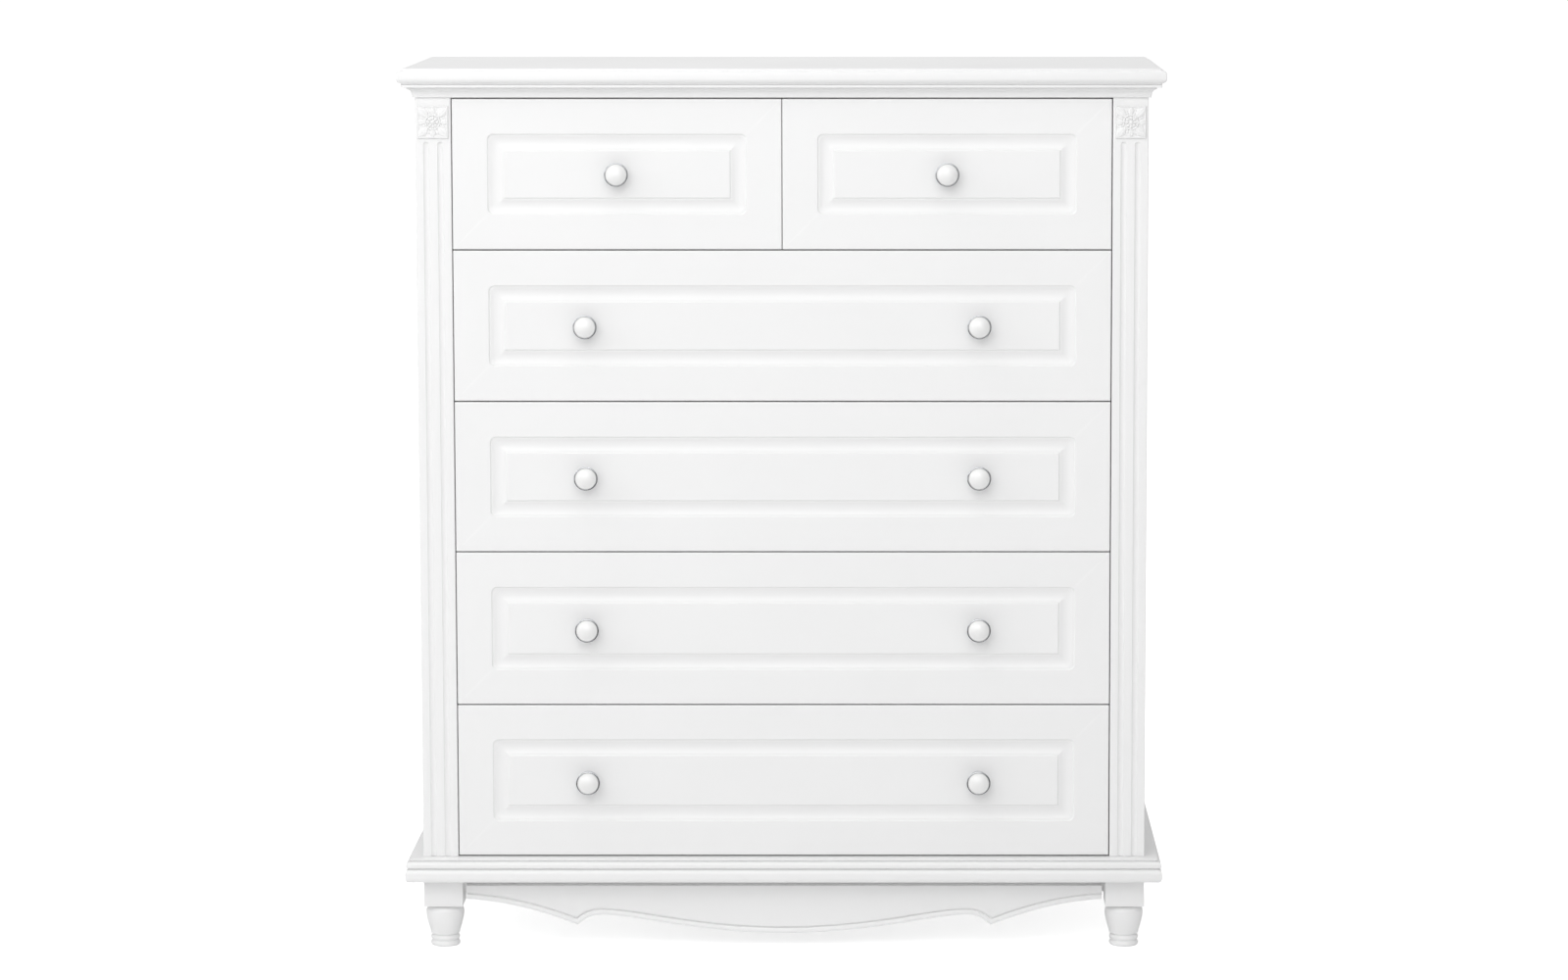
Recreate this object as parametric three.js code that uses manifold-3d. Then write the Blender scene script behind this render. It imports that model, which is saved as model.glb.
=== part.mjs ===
// Tall chest of drawers: a moulded top, two short drawers over four long ones between fluted posts,
// a moulded plinth, a scalloped apron and turned feet.
// Millimetres, +Z up. The front faces -Y and +X is to the right of someone facing it.
// The origin is under the middle of the whole chest, on the floor.

import * as THREE from 'three';
import { mergeVertices } from 'three/addons/utils/BufferGeometryUtils.js';
import Module from 'manifold-3d';

const wasm = await Module();
wasm.setup();

// ---------------------------------------------------------------------------------------------
// Driving dimensions
// ---------------------------------------------------------------------------------------------

// Case
const topWidth = 950;             // across the moulded edges
const topDepth = 400;             // from the moulded front edge to the back
const overhang = 21.5;            // how far the moulded edges pass the case, at the front and sides
const footHeight = 88;            // floor to the underside of the plinth
const plinthThickness = 18.5;
const floorBoardThickness = 11.5;
const upperRowPitch = 189;        // the three upper rows
const upperRows = 3;
const lowerRowPitch = 193.25;     // the two deeper rows at the bottom
const lowerRows = 2;
const crownThickness = 16.5;
const topThickness = 19.5;
const sideThickness = 18;
const backThickness = 5;
const dividerThickness = 16;
const shelfThickness = 14;

// Front posts and what decorates them
const postWidth = 44;
const postDepth = 44;
const fluteRadius = 4;
const fluteDepth = 2.6;
const fluteSpacing = 18.6;
const fluteTopDrop = 58;          // from the top of the post to the rounded top of a flute
const rosetteWidth = 38;
const rosetteHeight = 40;
const rosettePlate = 1.8;
const rosetteRelief = 1.4;
const rosetteTopDrop = 10.5;      // from the top of the post to the top of the rosette
const battenDepth = 40;

// Apron and feet
const apronThickness = 18;
const apronSetback = 6;
const apronEndGap = 4;            // between the end of the apron and the foot beside it
const apronEndRise = 62;          // heights of the lower edge above the floor
const apronCuspRise = 29;
const apronCrestRise = 42;
const apronMiddleRise = 18.5;
const apronCuspFromEnd = 140;
const apronCrestFromCusp = 31;
const beadLift = 7;               // from the lower edge up to the incised line
const beadWidth = 1.6;
const beadDepth = 1.2;
const footBlock = 49;
const footBlockHeight = 35;
const footBulbRadius = 24;
const footRingRadius = 18.4;
const footRingHeight = 7.4;

// Drawers
const frontThickness = 18;
const frontGap = 2;               // between one drawer front and the next
const frontSideGap = 1.5;         // between a drawer front and a post
const panelMargin = 43;           // from the edge of a front to its routed ring
const panelSlope = 11;            // width of the ring's outer slope
const fieldSlope = 10.5;          // width of the slope up to the raised field
const panelDepth = 4;
const panelStep = 1;              // small upright step at both edges of the ring
const wallThickness = 12;
const boxLift = 20;               // from the lower edge of the front to the lower edge of the box
const boxHeadroom = 31;           // from the upper edge of the box to the upper edge of the front
const boxBackSpace = 14;          // behind a closed drawer box
const bottomThickness = 5;
const bottomLift = 12;
const grooveDepth = 5;

// Drawer slides
const slideSpace = 12.7;          // between the case and each side of a drawer box
const slideRunning = 2.4;         // between a case rail and the drawer box beside it
const slideHeight = 28;
const slideMetal = 1.2;
const slideFrontSpace = 4;        // behind the drawer front
const slideDrop = 3;              // below the lower edge of the drawer box

// Knobs
const knobProjection = 29;
const knobRadius = 15;
const knobStemRadius = 5;
const knobFootRadius = 9.5;
const longKnobOffset = 244.5;     // from the middle of a long drawer to each knob

// Fits
const seam = 0.3;                 // between pieces that touch
const grooveClearance = 0.3;

// ---------------------------------------------------------------------------------------------
// Places worked out from them
// ---------------------------------------------------------------------------------------------

const caseWidth = topWidth - 2 * overhang;
const caseHalf = caseWidth / 2;
const overallDepth = topDepth - overhang + knobProjection;
const faceY = -overallDepth / 2 + knobProjection;
const backY = overallDepth / 2;
const openingHalf = caseHalf - postWidth;
const postX = caseHalf - postWidth / 2;
const innerBackY = backY - backThickness - seam;
const behindFrontY = faceY + frontThickness;

const plinthTop = footHeight + plinthThickness;
const openingBottom = plinthTop + floorBoardThickness;
const openingTop = openingBottom + upperRows * upperRowPitch + lowerRows * lowerRowPitch;
const crownTop = openingTop + crownThickness;
const topOfChest = crownTop + topThickness;

// ---------------------------------------------------------------------------------------------
// Materials
// ---------------------------------------------------------------------------------------------

const lacquer = new THREE.MeshStandardMaterial({ color: 0xf4f4f2, roughness: 0.35, metalness: 0 });
const boxWood = new THREE.MeshStandardMaterial({ color: 0xeeeae2, roughness: 0.6, metalness: 0 });
const hardboard = new THREE.MeshStandardMaterial({ color: 0xe9e7e2, roughness: 0.7, metalness: 0 });
const ceramic = new THREE.MeshStandardMaterial({ color: 0xf7f7f7, roughness: 0.08, metalness: 0 });
const slideSteel = new THREE.MeshStandardMaterial({ color: 0xe4e4e2, roughness: 0.4, metalness: 0.3 });

// ---------------------------------------------------------------------------------------------
// Solids
// ---------------------------------------------------------------------------------------------

function solid(geometry) {
  const bare = geometry.clone();
  bare.deleteAttribute('normal');
  bare.deleteAttribute('uv');
  const merged = mergeVertices(bare, 1e-4);
  return new wasm.Manifold(new wasm.Mesh({
    numProp: 3,
    vertProperties: new Float32Array(merged.attributes.position.array),
    triVerts: new Uint32Array(merged.index.array),
  }));
}

function geometryOf(manifold) {
  const mesh = manifold.getMesh();
  const geometry = new THREE.BufferGeometry();
  geometry.setAttribute('position', new THREE.BufferAttribute(new Float32Array(mesh.vertProperties), 3));
  geometry.setIndex(new THREE.BufferAttribute(new Uint32Array(mesh.triVerts), 1));
  geometry.computeVertexNormals();
  return geometry;
}

function block(x0, x1, y0, y1, z0, z1) {
  const geometry = new THREE.BoxGeometry(x1 - x0, y1 - y0, z1 - z0);
  geometry.translate((x0 + x1) / 2, (y0 + y1) / 2, (z0 + z1) / 2);
  return geometry;
}

// A section drawn in one plane and drawn out along the third axis.
function extrude(shape, length, curveSegments = 8) {
  return new THREE.ExtrudeGeometry(shape, { depth: length, bevelEnabled: false, curveSegments });
}

function turnAxes(geometry, x, y, z) {
  const turn = new THREE.Matrix4().makeBasis(x, y, z);
  return geometry.applyMatrix4(turn);
}

const X = new THREE.Vector3(1, 0, 0);
const Y = new THREE.Vector3(0, 1, 0);
const Z = new THREE.Vector3(0, 0, 1);
const minusY = new THREE.Vector3(0, -1, 0);

// section in (y, z), from x0 to x1
function alongX(shape, x0, x1) {
  return turnAxes(extrude(shape, x1 - x0), Y, Z, X).translate(x0, 0, 0);
}

// section in (x, z), from y0 to y1
function alongY(shape, y0, y1, curveSegments) {
  return turnAxes(extrude(shape, y1 - y0, curveSegments), X, Z, minusY).translate(0, y1, 0);
}

// section in (x, y), from z0 to z1
function alongZ(shape, z0, z1, curveSegments) {
  return extrude(shape, z1 - z0, curveSegments).translate(0, 0, z0);
}

// A board whose front and side edges carry a moulding that is mitred at the corners, with a plain
// back. The edge is a list of points from the lower face to the upper one: x is how far it passes
// the case and y is its height in the board.
function mouldedBoard(bottom, edge) {
  const top = bottom + edge[edge.length - 1].y;
  const reach = Math.max(...edge.map((point) => point.x));
  const front = edge.map((point) => new THREE.Vector2(faceY - point.x, bottom + point.y));
  front.push(new THREE.Vector2(backY, top));
  front.push(new THREE.Vector2(backY, bottom));
  const right = edge.map((point) => new THREE.Vector2(caseHalf + point.x, bottom + point.y));
  const left = edge.map((point) => new THREE.Vector2(-caseHalf - point.x, bottom + point.y)).reverse();
  const lengthways = alongX(new THREE.Shape(front), -caseHalf - reach, caseHalf + reach);
  const acrossways = alongY(new THREE.Shape([...right, ...left]), faceY - reach, backY);
  return geometryOf(solid(lengthways).intersect(solid(acrossways)));
}

const group = new THREE.Group();

function add(name, geometry, material) {
  const mesh = new THREE.Mesh(geometry, material);
  mesh.name = name;
  group.add(mesh);
  return mesh;
}

const sides = [['left', -1], ['right', 1]];

// ---------------------------------------------------------------------------------------------
// Top, crown, floor board and plinth
// ---------------------------------------------------------------------------------------------

function topEdge() {
  const height = topThickness;
  const edge = new THREE.Path();
  edge.moveTo(overhang - 5.5, 0);
  edge.quadraticCurveTo(overhang, 0, overhang, height * 0.35);
  edge.lineTo(overhang, height * 0.5);
  edge.quadraticCurveTo(overhang, height * 0.8, overhang - 5, height * 0.82);
  edge.lineTo(overhang - 7.5, height);
  return edge.getPoints(5);
}

function crownEdge() {
  const height = crownThickness - seam;
  const edge = new THREE.Path();
  edge.moveTo(3, 0);
  edge.lineTo(3, height * 0.12);
  edge.quadraticCurveTo(4, height * 0.62, 9, height * 0.7);
  edge.lineTo(9, height * 0.78);
  edge.lineTo(overhang - 5.5, height * 0.8);
  edge.lineTo(overhang - 5.5, height);
  return edge.getPoints(5);
}

function floorBoardEdge() {
  const height = floorBoardThickness - seam;
  const edge = new THREE.Path();
  edge.moveTo(overhang - 4.5, 0);
  edge.lineTo(overhang - 4.5, height * 0.12);
  edge.lineTo(overhang - 1, height * 0.14);
  edge.lineTo(overhang - 1, height * 0.45);
  edge.quadraticCurveTo(overhang - 1, height * 0.95, overhang - 5.5, height);
  return edge.getPoints(5);
}

function plinthEdge() {
  const height = plinthThickness - seam;
  const edge = new THREE.Path();
  edge.moveTo(overhang - 4, 0);
  edge.quadraticCurveTo(overhang, 0, overhang, height * 0.3);
  edge.lineTo(overhang, height * 0.65);
  edge.quadraticCurveTo(overhang, height * 0.95, overhang - 4.5, height);
  return edge.getPoints(5);
}

add('top_board', mouldedBoard(crownTop, topEdge()), lacquer);
add('crown_board', mouldedBoard(openingTop, crownEdge()), lacquer);
add('floor_board', mouldedBoard(plinthTop, floorBoardEdge()), lacquer);
add('plinth_board', mouldedBoard(footHeight, plinthEdge()), lacquer);

// ---------------------------------------------------------------------------------------------
// Posts with flutes, rosettes, sides, battens and back
// ---------------------------------------------------------------------------------------------

const caseBottom = openingBottom;
const caseTop = openingTop - seam;

function postGeometry(side) {
  const centre = side * postX;
  let post = solid(block(
    centre - postWidth / 2, centre + postWidth / 2,
    faceY, faceY + postDepth,
    caseBottom, caseTop,
  ));
  const fluteTop = openingTop - fluteTopDrop;
  const fluteBottom = caseBottom - fluteRadius;
  for (const place of [-0.5, 0.5]) {
    const x = centre + place * fluteSpacing;
    const y = faceY - fluteRadius + fluteDepth;
    const shaft = new THREE.CylinderGeometry(fluteRadius, fluteRadius, fluteTop - fluteBottom, 16);
    shaft.rotateX(Math.PI / 2).translate(x, y, (fluteTop + fluteBottom) / 2);
    const roundTop = new THREE.SphereGeometry(fluteRadius, 16, 12);
    roundTop.translate(x, y, fluteTop);
    post = post.subtract(solid(shaft)).subtract(solid(roundTop));
  }
  return geometryOf(post);
}

// A square tile with an eight-petalled flower and a round boss.
function rosetteGeometry(side) {
  const centre = side * postX;
  const top = openingTop - rosetteTopDrop;
  const middle = top - rosetteHeight / 2;
  const back = faceY - seam;
  const plate = block(
    centre - rosetteWidth / 2, centre + rosetteWidth / 2,
    back - rosettePlate, back,
    top - rosetteHeight, top,
  );
  const flower = new THREE.Shape();
  const steps = 64;
  for (let step = 0; step < steps; step += 1) {
    const angle = (2 * Math.PI * step) / steps;
    const radius = rosetteWidth * (0.36 + 0.08 * Math.cos(8 * angle));
    const x = centre + radius * Math.cos(angle);
    const z = middle + radius * Math.sin(angle);
    if (step === 0) flower.moveTo(x, z);
    else flower.lineTo(x, z);
  }
  const petals = alongY(flower, back - rosettePlate - rosetteRelief, back - rosettePlate / 2);
  const boss = new THREE.CylinderGeometry(rosetteWidth * 0.13, rosetteWidth * 0.1, 2 * rosetteRelief, 16);
  boss.translate(centre, back - rosettePlate - rosetteRelief, middle);
  return geometryOf(solid(plate).add(solid(petals)).add(solid(boss)));
}

const battenOuter = caseHalf - sideThickness - seam;

for (const [name, side] of sides) {
  add(`post_${name}`, postGeometry(side), lacquer);
  add(`rosette_${name}`, rosetteGeometry(side), lacquer);

  const panelX = [side * (caseHalf - sideThickness), side * caseHalf].sort((a, b) => a - b);
  add(`side_panel_${name}`, block(
    ...panelX, faceY + postDepth + seam, backY, caseBottom, caseTop,
  ), lacquer);

  const battenX = [side * openingHalf, side * battenOuter].sort((a, b) => a - b);
  add(`rear_batten_${name}`, block(
    ...battenX, innerBackY - battenDepth, innerBackY, caseBottom, caseTop,
  ), boxWood);
}

add('back_panel', block(
  -battenOuter, battenOuter, backY - backThickness, backY, caseBottom, caseTop,
), hardboard);

// ---------------------------------------------------------------------------------------------
// Rows of drawers, from the floor board up, and the shelf and divider around the top row
// ---------------------------------------------------------------------------------------------

const rowBottoms = [];
for (let row = 0; row < lowerRows + upperRows; row += 1) {
  const lower = Math.min(row, lowerRows);
  const upper = row - lower;
  rowBottoms.push(openingBottom + lower * lowerRowPitch + upper * upperRowPitch);
}
const topRowBottom = rowBottoms[rowBottoms.length - 1];
const behindFrontSpace = 3;
const shelfBottom = topRowBottom - shelfThickness / 2;
const shelfTop = topRowBottom + shelfThickness / 2;
const dividerHalf = dividerThickness / 2;

add('divider_shelf', block(
  -openingHalf + seam, openingHalf - seam,
  behindFrontY + behindFrontSpace, innerBackY,
  shelfBottom, shelfTop,
), boxWood);

add('centre_divider', block(
  -dividerHalf, dividerHalf,
  behindFrontY + behindFrontSpace, innerBackY,
  shelfTop + seam, caseTop,
), boxWood);

// ---------------------------------------------------------------------------------------------
// Drawers
// ---------------------------------------------------------------------------------------------

// A four-sided block whose four edges slope: a frustum lying on its back, between two depths.
function slopedBlock(outer, inner, frontDepth, rearDepth) {
  const lengthways = new THREE.Shape([
    new THREE.Vector2(frontDepth, outer.z0),
    new THREE.Vector2(rearDepth, inner.z0),
    new THREE.Vector2(rearDepth, inner.z1),
    new THREE.Vector2(frontDepth, outer.z1),
  ]);
  const plan = new THREE.Shape([
    new THREE.Vector2(outer.x0, frontDepth),
    new THREE.Vector2(inner.x0, rearDepth),
    new THREE.Vector2(inner.x1, rearDepth),
    new THREE.Vector2(outer.x1, frontDepth),
  ]);
  const x0 = Math.min(outer.x0, inner.x0);
  const x1 = Math.max(outer.x1, inner.x1);
  const z0 = Math.min(outer.z0, inner.z0);
  const z1 = Math.max(outer.z1, inner.z1);
  return solid(alongX(lengthways, x0, x1)).intersect(solid(alongZ(plan, z0, z1)));
}

function inset(rectangle, by) {
  return {
    x0: rectangle.x0 + by,
    x1: rectangle.x1 - by,
    z0: rectangle.z0 + by,
    z1: rectangle.z1 - by,
  };
}

// A drawer front with a routed ring around a raised field, and a groove behind for the bottom.
function frontGeometry(face, groove) {
  const board = solid(block(face.x0, face.x1, faceY, behindFrontY, face.z0, face.z1));
  const ring = inset(face, panelMargin);
  const floor = inset(ring, panelSlope);
  const field = inset(floor, fieldSlope);
  const outside = faceY - 1;
  const stepY = faceY + panelStep;
  const floorY = faceY + panelDepth;
  const mouth = solid(block(ring.x0, ring.x1, outside, stepY, ring.z0, ring.z1));
  const pocket = slopedBlock(ring, floor, stepY, floorY);
  const island = slopedBlock(field, floor, stepY, floorY);
  const islandTop = solid(block(field.x0, field.x1, outside, stepY, field.z0, field.z1));
  const ringCut = mouth.add(pocket).subtract(island.add(islandTop));
  return geometryOf(board.subtract(ringCut).subtract(groove));
}

// The two sides and the back of a drawer, as one glued frame that is open to the front.
function boxGeometry(box, groove) {
  const outline = new THREE.Shape([
    new THREE.Vector2(box.x0, box.y0),
    new THREE.Vector2(box.x0 + wallThickness, box.y0),
    new THREE.Vector2(box.x0 + wallThickness, box.y1 - wallThickness),
    new THREE.Vector2(box.x1 - wallThickness, box.y1 - wallThickness),
    new THREE.Vector2(box.x1 - wallThickness, box.y0),
    new THREE.Vector2(box.x1, box.y0),
    new THREE.Vector2(box.x1, box.y1),
    new THREE.Vector2(box.x0, box.y1),
  ]);
  return geometryOf(solid(alongZ(outline, box.z0, box.z1)).subtract(groove));
}

function knobGeometry() {
  const profile = new THREE.Path();
  const bezel = knobProjection * 0.55;
  const rim = knobProjection * 0.68;
  profile.moveTo(0, seam);
  profile.lineTo(knobFootRadius, seam);
  profile.lineTo(knobFootRadius, 2);
  profile.quadraticCurveTo(knobStemRadius, 3, knobStemRadius, 8);
  profile.quadraticCurveTo(knobStemRadius + 0.5, bezel - 1, knobRadius - 1, bezel);
  profile.lineTo(knobRadius, bezel + 1.5);
  profile.lineTo(knobRadius, rim);
  profile.quadraticCurveTo(knobRadius * 0.8, knobProjection, 0, knobProjection);
  return new THREE.LatheGeometry(profile.getPoints(4), 20).rotateX(Math.PI);
}

// One rail of a pair of drawer slides, a channel that is open towards the drawer.
function slideGeometry(wallX, inward, bottom) {
  const far = wallX + inward * (slideSpace - seam - slideRunning);
  const web = wallX + inward * slideMetal;
  const channel = new THREE.Shape([
    new THREE.Vector2(wallX, bottom),
    new THREE.Vector2(far, bottom),
    new THREE.Vector2(far, bottom + slideMetal),
    new THREE.Vector2(web, bottom + slideMetal),
    new THREE.Vector2(web, bottom + slideHeight - slideMetal),
    new THREE.Vector2(far, bottom + slideHeight - slideMetal),
    new THREE.Vector2(far, bottom + slideHeight),
    new THREE.Vector2(wallX, bottom + slideHeight),
  ]);
  return alongY(channel, behindFrontY + slideFrontSpace, innerBackY - seam);
}

function addDrawer(name, face, bay, knobXs) {
  const box = {
    x0: bay.x0 + slideSpace,
    x1: bay.x1 - slideSpace,
    y0: behindFrontY + seam,
    y1: innerBackY - boxBackSpace,
    z0: face.z0 + boxLift,
    z1: face.z1 - boxHeadroom,
  };
  const bottom = {
    x0: box.x0 + wallThickness - grooveDepth,
    x1: box.x1 - wallThickness + grooveDepth,
    y0: behindFrontY - grooveDepth,
    y1: box.y1 - wallThickness + grooveDepth,
    z0: box.z0 + bottomLift,
    z1: box.z0 + bottomLift + bottomThickness,
  };
  const groove = solid(block(
    bottom.x0 - grooveClearance, bottom.x1 + grooveClearance,
    bottom.y0 - grooveClearance, bottom.y1 + grooveClearance,
    bottom.z0 - grooveClearance, bottom.z1 + grooveClearance,
  ));
  add(`${name}_front`, frontGeometry(face, groove), lacquer);
  add(`${name}_box`, boxGeometry(box, groove), boxWood);
  add(`${name}_bottom`, block(bottom.x0, bottom.x1, bottom.y0, bottom.y1, bottom.z0, bottom.z1), hardboard);
  const middle = (face.z0 + face.z1) / 2;
  knobXs.forEach((x, index) => {
    const label = knobXs.length > 1 ? `_${sides[index][0]}` : '';
    add(`${name}_knob${label}`, knobGeometry(), ceramic).position.set(x, faceY, middle);
  });
  const slideBottom = box.z0 - slideDrop;
  add(`${name}_slide_left`, slideGeometry(bay.x0 + seam, 1, slideBottom), slideSteel);
  add(`${name}_slide_right`, slideGeometry(bay.x1 - seam, -1, slideBottom), slideSteel);
}

rowBottoms.forEach((bottom, row) => {
  const isTopRow = row === rowBottoms.length - 1;
  const pitch = row < lowerRows ? lowerRowPitch : upperRowPitch;
  const z0 = bottom + frontGap / 2;
  const z1 = bottom + pitch - frontGap / 2;
  const edge = openingHalf - frontSideGap;
  if (!isTopRow) {
    const number = rowBottoms.length - row;
    const face = { x0: -edge, x1: edge, z0, z1 };
    const bay = { x0: -openingHalf, x1: openingHalf };
    addDrawer(`drawer_row_${number}`, face, bay, [-longKnobOffset, longKnobOffset]);
    return;
  }
  for (const [name, side] of sides) {
    const faceX = [side * frontGap / 2, side * edge].sort((a, b) => a - b);
    const bayX = [side * dividerHalf, side * openingHalf].sort((a, b) => a - b);
    const face = { x0: faceX[0], x1: faceX[1], z0, z1 };
    const bay = { x0: bayX[0], x1: bayX[1] };
    addDrawer(`drawer_top_${name}`, face, bay, [(face.x0 + face.x1) / 2]);
  }
});

// ---------------------------------------------------------------------------------------------
// Apron and feet
// ---------------------------------------------------------------------------------------------

const apronHalf = caseHalf - footBlock - apronEndGap;

// The apron's face with its scalloped lower edge, lifted by a given height.
function apronShape(lift) {
  const cuspX = apronHalf - apronCuspFromEnd;
  const crestX = cuspX - apronCrestFromCusp;
  const end = apronEndRise + lift;
  const cusp = apronCuspRise + lift;
  const crest = apronCrestRise + lift;
  const middle = apronMiddleRise + lift;
  const top = footHeight - seam;
  const shape = new THREE.Shape();
  shape.moveTo(-apronHalf, top);
  shape.lineTo(-apronHalf, end);
  shape.bezierCurveTo(
    -apronHalf + apronCuspFromEnd * 0.43, end - 4,
    -cuspX - apronCuspFromEnd * 0.28, cusp + 15,
    -cuspX, cusp,
  );
  shape.bezierCurveTo(
    -cuspX + apronCrestFromCusp * 0.33, cusp + 9,
    -crestX - apronCrestFromCusp * 0.4, crest,
    -crestX, crest,
  );
  shape.bezierCurveTo(-crestX * 0.82, crest, -crestX * 0.48, middle, 0, middle);
  shape.bezierCurveTo(crestX * 0.48, middle, crestX * 0.82, crest, crestX, crest);
  shape.bezierCurveTo(
    crestX + apronCrestFromCusp * 0.4, crest,
    cuspX - apronCrestFromCusp * 0.33, cusp + 9,
    cuspX, cusp,
  );
  shape.bezierCurveTo(
    cuspX + apronCuspFromEnd * 0.28, cusp + 15,
    apronHalf - apronCuspFromEnd * 0.43, end - 4,
    apronHalf, end,
  );
  shape.lineTo(apronHalf, top);
  return shape;
}

const apronFace = faceY + apronSetback;
const apronBoard = solid(alongY(apronShape(0), apronFace, apronFace + apronThickness, 10));
const aboveBead = solid(alongY(apronShape(beadLift), apronFace - 1, apronFace + beadDepth, 10));
const belowBead = solid(alongY(apronShape(beadLift + beadWidth), apronFace - 2, apronFace + 2 * beadDepth, 10));
add('apron', geometryOf(apronBoard.subtract(aboveBead.subtract(belowBead))), lacquer);

// A square block over a turned bulb and two beads.
function footGeometry() {
  const blockBottom = footHeight - footBlockHeight;
  const half = footBlock / 2;
  const bulbBottom = 2 * footRingHeight;
  const bulbHeight = blockBottom - bulbBottom;
  const profile = new THREE.Path();
  profile.moveTo(0, 0);
  profile.lineTo(footRingRadius - 1.5, 0);
  for (const base of [0, footRingHeight]) {
    profile.quadraticCurveTo(
      footRingRadius + 0.8, base + footRingHeight / 2,
      footRingRadius - 1.5, base + footRingHeight - 0.6,
    );
  }
  profile.lineTo(footRingRadius - 1.5, bulbBottom + 0.4);
  profile.quadraticCurveTo(
    footRingRadius + 1, bulbBottom + bulbHeight * 0.06,
    footRingRadius + 2, bulbBottom + bulbHeight * 0.26,
  );
  profile.quadraticCurveTo(
    footBulbRadius, bulbBottom + bulbHeight * 0.58,
    footBulbRadius, bulbBottom + bulbHeight * 0.77,
  );
  profile.quadraticCurveTo(footBulbRadius, blockBottom - 2, footBulbRadius - 6, blockBottom - 1);
  profile.lineTo(footBulbRadius - 6, blockBottom + 1);
  profile.lineTo(0, blockBottom + 1);
  const turned = new THREE.LatheGeometry(profile.getPoints(4), 24).rotateX(Math.PI / 2);
  const squared = block(-half, half, -half, half, blockBottom, footHeight - seam);
  return geometryOf(solid(turned).add(solid(squared)));
}

for (const [name, side] of sides) {
  const x = side * (caseHalf - footBlock / 2);
  add(`foot_front_${name}`, footGeometry(), lacquer).position.set(x, faceY + footBlock / 2, 0);
  add(`foot_back_${name}`, footGeometry(), lacquer).position.set(x, backY - footBlock / 2, 0);
}

export default group;
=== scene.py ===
import math

import bmesh
import bpy
import numpy as np
from bpy.props import FloatProperty, FloatVectorProperty, IntProperty, PointerProperty
from bpy.types import Operator, Panel, PropertyGroup
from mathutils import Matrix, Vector


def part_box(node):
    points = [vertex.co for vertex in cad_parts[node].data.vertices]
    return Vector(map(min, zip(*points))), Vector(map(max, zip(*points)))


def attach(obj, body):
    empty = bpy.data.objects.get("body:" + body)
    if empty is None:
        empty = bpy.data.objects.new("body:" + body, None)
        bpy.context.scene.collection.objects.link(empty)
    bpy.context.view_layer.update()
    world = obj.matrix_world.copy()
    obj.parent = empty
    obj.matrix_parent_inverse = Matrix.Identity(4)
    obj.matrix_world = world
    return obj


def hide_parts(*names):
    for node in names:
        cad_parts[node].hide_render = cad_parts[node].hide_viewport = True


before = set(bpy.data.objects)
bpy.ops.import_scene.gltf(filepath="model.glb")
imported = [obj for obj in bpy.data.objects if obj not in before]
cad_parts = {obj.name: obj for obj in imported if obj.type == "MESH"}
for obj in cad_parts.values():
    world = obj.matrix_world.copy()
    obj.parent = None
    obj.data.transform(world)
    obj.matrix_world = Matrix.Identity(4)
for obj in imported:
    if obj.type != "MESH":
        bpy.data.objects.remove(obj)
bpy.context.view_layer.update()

bl_info = {
    "name": "Tall chest of drawers",
    "version": (1, 0, 0),
    "blender": (4, 5, 0),
    "location": "View3D > Sidebar > Chest",
    "description": "Builds the visible pieces of a tall white chest of drawers on its packed frame",
    "category": "Object",
}

MM = 0.001
DRAWERS = (
    "drawer_top_left", "drawer_top_right", "drawer_row_2", "drawer_row_3", "drawer_row_4", "drawer_row_5",
)
SIDES = (("left", -1), ("right", 1))

# Angles in degrees over which the edge between two faces stays crisp.
SHARP_BOARD = 10.0
SHARP_FOOT = 26.0
SHARP_RAIL = 30.0
SHARP_MOULDING = 32.0
SHARP_POST = 38.0
SHARP_APRON = 40.0
SHARP_ROLLER = 40.0
SHARP_CARVING = 50.0
SHARP_KNOB = 50.0


def low(node):
    return np.array(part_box(node)[0])


def high(node):
    return np.array(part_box(node)[1])


# Places that the frame gives: the middle plane is x = 0 and the front faces -Y.
FACE_Y = float(low("post_left")[1])
BACK_Y = float(high("back_panel")[1])
CASE_HALF = float(high("side_panel_right")[0])
POST_X = float((low("post_right")[0] + high("post_right")[0]) / 2)
POST_WIDTH = float(high("post_right")[0] - low("post_right")[0])


# ---------------------------------------------------------------------------------------------
# Sizes, finishes and light that a user would change
# ---------------------------------------------------------------------------------------------


def length_property(name, description, default):
    return FloatProperty(
        name=name, description=description, default=default, min=0.0, unit="LENGTH", precision=5
    )


def colour_property(name, description, default):
    return FloatVectorProperty(
        name=name, description=description, default=default, size=3, min=0.0, max=1.0, subtype="COLOR"
    )


def share_property(name, description, default):
    return FloatProperty(
        name=name, description=description, default=default, min=0.0, max=1.0, subtype="FACTOR"
    )


def strength_property(name, description, default):
    return FloatProperty(name=name, description=description, default=default, min=0.0)


def shift_property(name, description, default):
    return FloatProperty(name=name, description=description, default=default)


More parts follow.
